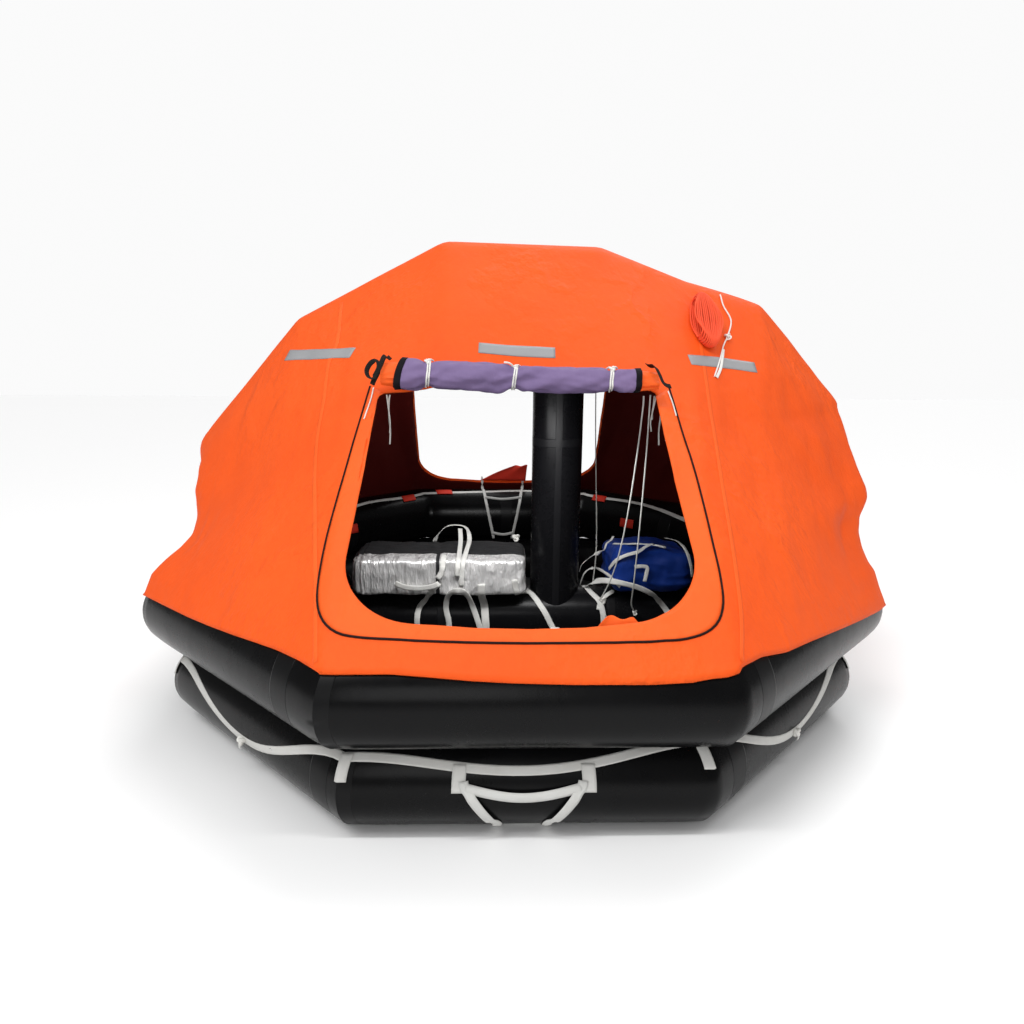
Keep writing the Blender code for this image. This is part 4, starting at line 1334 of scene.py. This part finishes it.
def makeGrabLine():
    def shape(u, v):
        place = 8 * u
        side, share = int(place) % 8, place % 1
        low, high = grab["heights"][side:side + 2]
        level = low + (high - low) * share + grab["rises"][side] * sin(pi * share) ** 2 - highZ
        level += noise.noise((place * 2.2, 5, 0)) * 0.006
        angle = pi - angleAt(level) + (v - 0.5) * grab["width"] / tubeR
        lift = 0.0025 + 0.004 * abs(noise.noise((place * 3, 1, 0)))
        return onTube(place, angle, tubeR + lift, highA, highZ)

    mesh = sheetOf(8 * 24, 4, shape, (9.0, grab["width"]))
    keep("grab_line_webbing", mesh, "webbing", "grab_line", "webbing_white", thick=0.002, sharp=80)
    for k in range(8):
        for n, (share, level) in enumerate(grab["patches"]):
            if k in (0, 4) and n == 1:
                continue
            level += 0.018 if k == 4 else 0

            def patch(u, v):
                angle = pi - angleAt(level) + (v - 0.5) * grab["patch"][1] / tubeR
                place = k + share + (u - 0.5) * grab["patch"][0] / sideOf(highA - tubeR)
                return onTube(place, angle, tubeR + 0.0082, highA, highZ)

            mesh = sheetOf(8, 5, patch, (0.105, 0.062))
            keep("grab_patch_%d_%d" % (k, n), mesh, "redPatch", slot="canopy_orange", thick=0.0018, sharp=80)


# gear on the cross seat
band = dict(x=-0.385, width=0.012, deep=0.010)  # the dark band round the foil


def makeBundle():
    def push(p, spot):
        swell = noise.noise(spot * 7) * 0.010 + noise.noise(spot * 19) * 0.0045
        pleat = 0.004 * sin(spot.x * 210) * bell(spot.x + 0.80, 0.10)
        return outOf(p, 5) * (swell - band["deep"] * bell(spot.x - band["x"], band["width"]) + pleat - 0.006)

    mesh = softBox(*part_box("foil_bundle"), 47, 9, push)
    for face in mesh.faces:
        spot = face.calc_center_median()
        top = face.normal.z > 0.55 and spot.y > -0.085
        face.material_index = 1 if top or abs(spot.x - band["x"]) < 0.010 or spot.y > 0.12 else 0
    made = keep("foil_wrapped_bundle", mesh, "foil", "foil_bundle", "foil", sharp=40)
    made.data.materials.append(finishes["pocket"])
    return made


def makeBag():
    def push(p, spot):
        swell = noise.noise(spot * 6 + Vector((3, 1, 2))) * 0.022 + noise.noise(spot * 15) * 0.009
        fold = abs(noise.noise((spot.x * 4, spot.y * 4, spot.z * 16))) * 0.018
        slump = Vector((0, 0, -0.045 * (p.x * 0.7 + 0.3) ** 2 * max(0, p.z)))
        return outOf(p) * (swell - fold - 0.006) + slump

    mesh = softBox(*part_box("blue_bag"), 41, 5, push)
    made = keep("blue_gear_bag", mesh, "bag", "blue_bag", "bag_blue", sharp=60)
    return made


# routes of the loose straps that lash the gear: their width and the points they pass
straps = dict(
    bundle_front=(0.034, [(-0.60, -0.222, 0.520), (-0.55, -0.226, 0.500), (-0.48, -0.226, 0.494),
                          (-0.42, -0.224, 0.500), (-0.375, -0.222, 0.516)]),
    seat_left=(0.036, [(-0.375, -0.218, 0.520), (-0.41, -0.215, 0.485), (-0.445, -0.165, 0.42),
                       (-0.485, -0.142, 0.365), (-0.497, -0.168, 0.31), (-0.495, -0.166, 0.24)]),
    seat_arch=(0.036, [(-0.327, -0.166, 0.23), (-0.332, -0.170, 0.30), (-0.345, -0.165, 0.375),
                       (-0.325, -0.20, 0.455), (-0.275, -0.225, 0.482), (-0.235, -0.205, 0.452),
                       (-0.20, -0.165, 0.36), (-0.17, -0.172, 0.27), (-0.155, -0.168, 0.22)]),
    seat_band=(0.048, [(-0.160, -0.214, 0.512), (-0.158, -0.19, 0.44), (-0.145, -0.140, 0.375),
                       (-0.138, -0.166, 0.29), (-0.135, -0.166, 0.22)]),
    seat_slant=(0.036, [(0.010, -0.212, 0.535), (0.03, -0.18, 0.45), (0.095, -0.085, 0.430),
                        (0.166, -0.150, 0.352), (0.205, -0.172, 0.28), (0.225, -0.182, 0.245)]),
    bundle_over=(0.030, [(-0.262, -0.216, 0.50), (-0.259, -0.216, 0.577), (-0.252, -0.204, 0.626),
                         (-0.24, -0.10, 0.655), (-0.225, 0.03, 0.690), (-0.24, 0.06, 0.745),
                         (-0.29, 0.07, 0.760), (-0.35, 0.07, 0.752), (-0.40, 0.08, 0.700),
                         (-0.42, 0.10, 0.655)]),
    bundle_second=(0.030, [(-0.285, -0.216, 0.55), (-0.280, -0.212, 0.615), (-0.275, -0.12, 0.652),
                           (-0.272, 0.02, 0.690), (-0.275, 0.06, 0.742)]),
    bundle_tail=(0.034, [(-0.352, -0.130, 0.649), (-0.357, -0.212, 0.612), (-0.365, -0.220, 0.575),
                         (-0.385, -0.222, 0.545)]),
    pillar_low=(0.026, [(0.370, -0.02, 0.52), (0.385, -0.01, 0.56), (0.435, 0.0, 0.60), (0.51, 0.03, 0.635),
                        (0.56, 0.06, 0.70)]),
    pillar_loop=(0.022, [(0.375, 0.0, 0.44), (0.40, -0.02, 0.52), (0.455, -0.03, 0.545), (0.52, -0.12, 0.525),
                         (0.56, -0.19, 0.49)]),
    bag_front=(0.036, [(0.400, -0.02, 0.438), (0.45, -0.09, 0.49), (0.51, -0.17, 0.515),
                       (0.58, -0.205, 0.510), (0.65, -0.212, 0.492), (0.72, -0.200, 0.455),
                       (0.79, -0.140, 0.385), (0.845, -0.160, 0.305), (0.86, -0.164, 0.25)]),
    vee=(0.036, [(0.398, 0.0, 0.4375), (0.430, -0.075, 0.420), (0.466, -0.128, 0.390), (0.482, -0.160, 0.330),
                 (0.486, -0.166, 0.275)]),
    vee_end=(0.026, [(0.545, -0.10, 0.440), (0.505, -0.105, 0.415), (0.470, -0.128, 0.385),
                     (0.458, -0.150, 0.350)]),
    bag_handle=(0.021, [(0.540, -0.06, 0.690), (0.583, -0.110, 0.700), (0.65, -0.120, 0.704),
                        (0.732, -0.128, 0.700), (0.80, -0.140, 0.690)]),
    bag_handle_low=(0.021, [(0.512, -0.100, 0.560), (0.535, -0.170, 0.625), (0.575, -0.200, 0.660),
                            (0.645, -0.195, 0.680), (0.692, -0.155, 0.698), (0.74, -0.12, 0.704)]),
    bag_label=(0.024, [(0.628, -0.200, 0.600), (0.665, -0.204, 0.604), (0.692, -0.205, 0.598),
                       (0.690, -0.206, 0.565), (0.683, -0.204, 0.522)]),
    bag_right=(0.021, [(0.835, 0.02, 0.700), (0.880, -0.06, 0.703), (0.895, -0.17, 0.685),
                       (0.915, -0.205, 0.62), (0.930, -0.208, 0.55)]))


def makeStraps(pieces):
    tree = treeOf(*pieces)
    off = 0.0035
    for name, (width, route) in straps.items():
        line = smoothLine(route, max(16, int(lengthOf([Vector(spot) for spot in route]) / 0.014)))
        outs = []
        for k, spot in enumerate(line):
            near, normal = tree.find_nearest(spot)[:2]
            if (spot - near).dot(normal) < 0 or (spot - near).length < off:
                line[k] = near + normal * off
            outs.append(normal)
        strip("strap_" + name, line, evened(outs), width * 0.82, "webbing", slot="webbing_white")
    knot("strap_knot_low", (0.228, -0.186, 0.243), 0.022, 0.008, way=(0.2, -1, 0.3))
    tail = smoothLine([(0.235, -0.19, 0.245), (0.262, -0.196, 0.238), (0.288, -0.19, 0.228)], 8)
    strip("strap_knot_tail", tail, [Vector((0, -0.8, 0.6))] * 9, 0.020, "webbing", slot="webbing_white")
    knot("strap_knot_bag", (0.484, -0.128, 0.395), 0.015, 0.006, way=(0.2, -1, 0.5))
    knot("bundle_knot", (0.035, 0.205, 0.655), 0.018, 0.007, way=(0.2, -1, 0.3))


# below and behind
def makePockets():
    for k in range(1, 5):
        low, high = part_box("ballast_pocket_%d" % k)

        def push(p, spot):
            sag = noise.noise(spot * 8 + Vector((k, 0, 0))) * 0.010
            fold = abs(noise.noise((spot.x * 5, spot.y * 14, k))) * 0.012 * (1 if p.z < 0.2 else 0.3)
            return outOf(p) * (sag - fold - 0.004)

        mesh = softBox(low + upward * 0.004, high, 23, 8, push)
        for vert in mesh.verts:
            vert.co.z = clamp(vert.co.z, 0.004, high.z)
        made = keep("ballast_pouch_%d" % k, mesh, "pocket", "ballast_pocket_%d" % k, "pocket_black", sharp=60)
        # two bands of webbing pass under each pocket
        middle = (low.y + high.y) / 2
        route = [(low.y + 0.01, 0.070), (low.y - 0.004, 0.04), (low.y + 0.02, 0.006), (middle, 0.003),
                 (high.y - 0.02, 0.006), (high.y + 0.004, 0.04), (high.y - 0.01, 0.070)]
        for n, x in enumerate((low.x + 0.06, high.x - 0.06)):
            line = smoothLine([(x, y, z) for y, z in route], 40)
            outs = [Vector((0, p.y - middle, p.z - 0.05)).normalized() for p in line]
            strip("pouch_web_%d_%d" % (k, n), line, outs, 0.03, "blackWeb", thick=0.0015)


cylinder = dict(radius=0.070, height=0.078, dome=0.055, bands=(0.2, 0.8), band=0.042, around=40,
                # the valve's outline, as radius and height, which is turned round its middle
                valve=[(0.0, 0.0), (0.020, 0.0), (0.023, 0.003), (0.023, 0.010), (0.016, 0.014),
                       (0.016, 0.030), (0.0215, 0.033), (0.0235, 0.040), (0.0235, 0.056), (0.020, 0.061),
                       (0.012, 0.064), (0.012, 0.0698), (0.0, 0.0698)])


def makeCylinder():
    radius, height = cylinder["radius"], cylinder["height"]
    apothem = lowA + sqrt((tubeR + radius - 0.0004) ** 2 - (lowZ - height) ** 2)
    a, b = [onOctagon(place, apothem) + upward * height for place in (3.25, 3.75)]
    way = (b - a).normalized()
    sleeve("gas_cylinder_body", [a, b], radius - 0.0006, "cylinder", "cylinder_grey", "gas_cylinder",
           around=56, dome=cylinder["dome"])
    mesh = bmesh.new()
    turns = [2 * pi * k / cylinder["around"] for k in range(cylinder["around"])]
    rings = []
    for r, z in cylinder["valve"]:
        rings.append([mesh.verts.new((r * cos(turn), r * sin(turn), z)) for turn in (turns if r else [0])])
    for p, q in zip(rings, rings[1:]):
        for k in range(len(turns)):
            corners = [ring[n % len(ring)] for ring, n in ((p, k), (p, k + 1), (q, k + 1), (q, k))]
            mesh.faces.new(dict.fromkeys(corners))
    turned = way.to_track_quat("Z", "Y").to_matrix().to_4x4()
    bmesh.ops.transform(mesh, matrix=Matrix.Translation(b) @ turned, verts=mesh.verts)
    keep("cylinder_head", mesh, "valve", "cylinder_valve", "valve_brass", sharp=30)
    out = towards(Vector((way.y, -way.x, 0)), a)
    for n, share in enumerate(cylinder["bands"]):
        spot = a.lerp(b, share)

        def around(angle, lift):
            return spot + (out * cos(angle) + upward * sin(angle)) * (radius + lift)

        line = [around(2 * pi * k / 32, 0.0018) for k in range(33)]
        outs = [(p - spot).normalized() for p in line]
        strip("cylinder_band_%d" % n, line, outs, cylinder["band"], "blackWeb", thick=0.0016, sharp=80)
        top, end = around(2.05, 0.002), spot - out * 0.115 + upward * 0.215
        hold = smoothLine([top, top.lerp(end, 0.5) + out * 0.008, end], 12)
        strip("cylinder_sling_%d" % n, hold, [out] * 13, cylinder["band"], "blackWeb", thick=0.0016)


# small flaps at the sills, by their corners, and the strings beside the front doorway, by x and height
flaps = dict(back=[(-0.168, 1.500, 0.802), (0.07, 1.462, 0.884), (0.172, 1.452, 0.892),
                   (0.162, 1.490, 0.800)],
             front=[(0.205, -1.492, 0.755), (0.262, -1.476, 0.797), (0.352, -1.480, 0.793),
                    (0.400, -1.498, 0.752)])
strings = dict(left=[(-0.612, 1.512), (-0.620, 1.455), (-0.636, 1.392)],
               right=[(0.624, 1.505), (0.634, 1.460), (0.640, 1.410)])


def makeFlaps():
    for name, finish in (("back", "redPatch"), ("front", "facing")):
        a, b, c, d = [Vector(spot) for spot in flaps[name]]
        wide = (d - a).length

        def shape(u, v):
            spot = a.lerp(d, u).lerp(b.lerp(c, u), v)
            wave = Vector((0, 0.008 * sin(u * 7) * v, 0.004 * sin(u * 9) * v))
            return spot + wave - upward * 0.03 * (1 - v) ** 2

        mesh = sheetOf(16, 8, shape, (wide, 0.1))
        area = sum(face.calc_area() for face in mesh.faces)
        made = keep("sill_flap_" + name, mesh, finish, slot="canopy_orange", thick=0.002, sharp=80)
        area / wide * 1.1


def makeStrings(tree):
    for name, spots in strings.items():
        line = smoothLine(castOn(tree, front, spots), 14)
        line, _ = laidLine(tree, line, [Vector((0, -0.7, 0.7))] * 15, 0.0062)
        limpCord(rope("piping_string_" + name, line, 0.0028, "cord"), line, 0.0028)


makeCamera()
makeGround()
makeWorld()
makeLamps()
makeFinishes()
print("camera, light and finishes are ready")
makeCords()
makeFrame()
makeDeck()
print("tubes are ready")
cloth = treeOf(makeCanopy())
makeFacings(cloth)
makeSeams(cloth)
makeTapes(cloth)
makeHank(cloth)
for name, side in ends.items():
    makeRoll(name, side)
print("canopy is ready")
makeLifeline()
makeTabs()
for name, side in ends.items():
    makeBoardingLadder(name, side)
makeInnerLadder()
makeGrabLine()
print("webbing is ready")
gear = [makeBundle(), makeBag()]
makeStraps(gear + [bpy.data.objects["thwart_skin"], bpy.data.objects["pillar_skin"]])
print("gear is ready")
makeFlaps()
makeStrings(cloth)
makePockets()
makeCylinder()
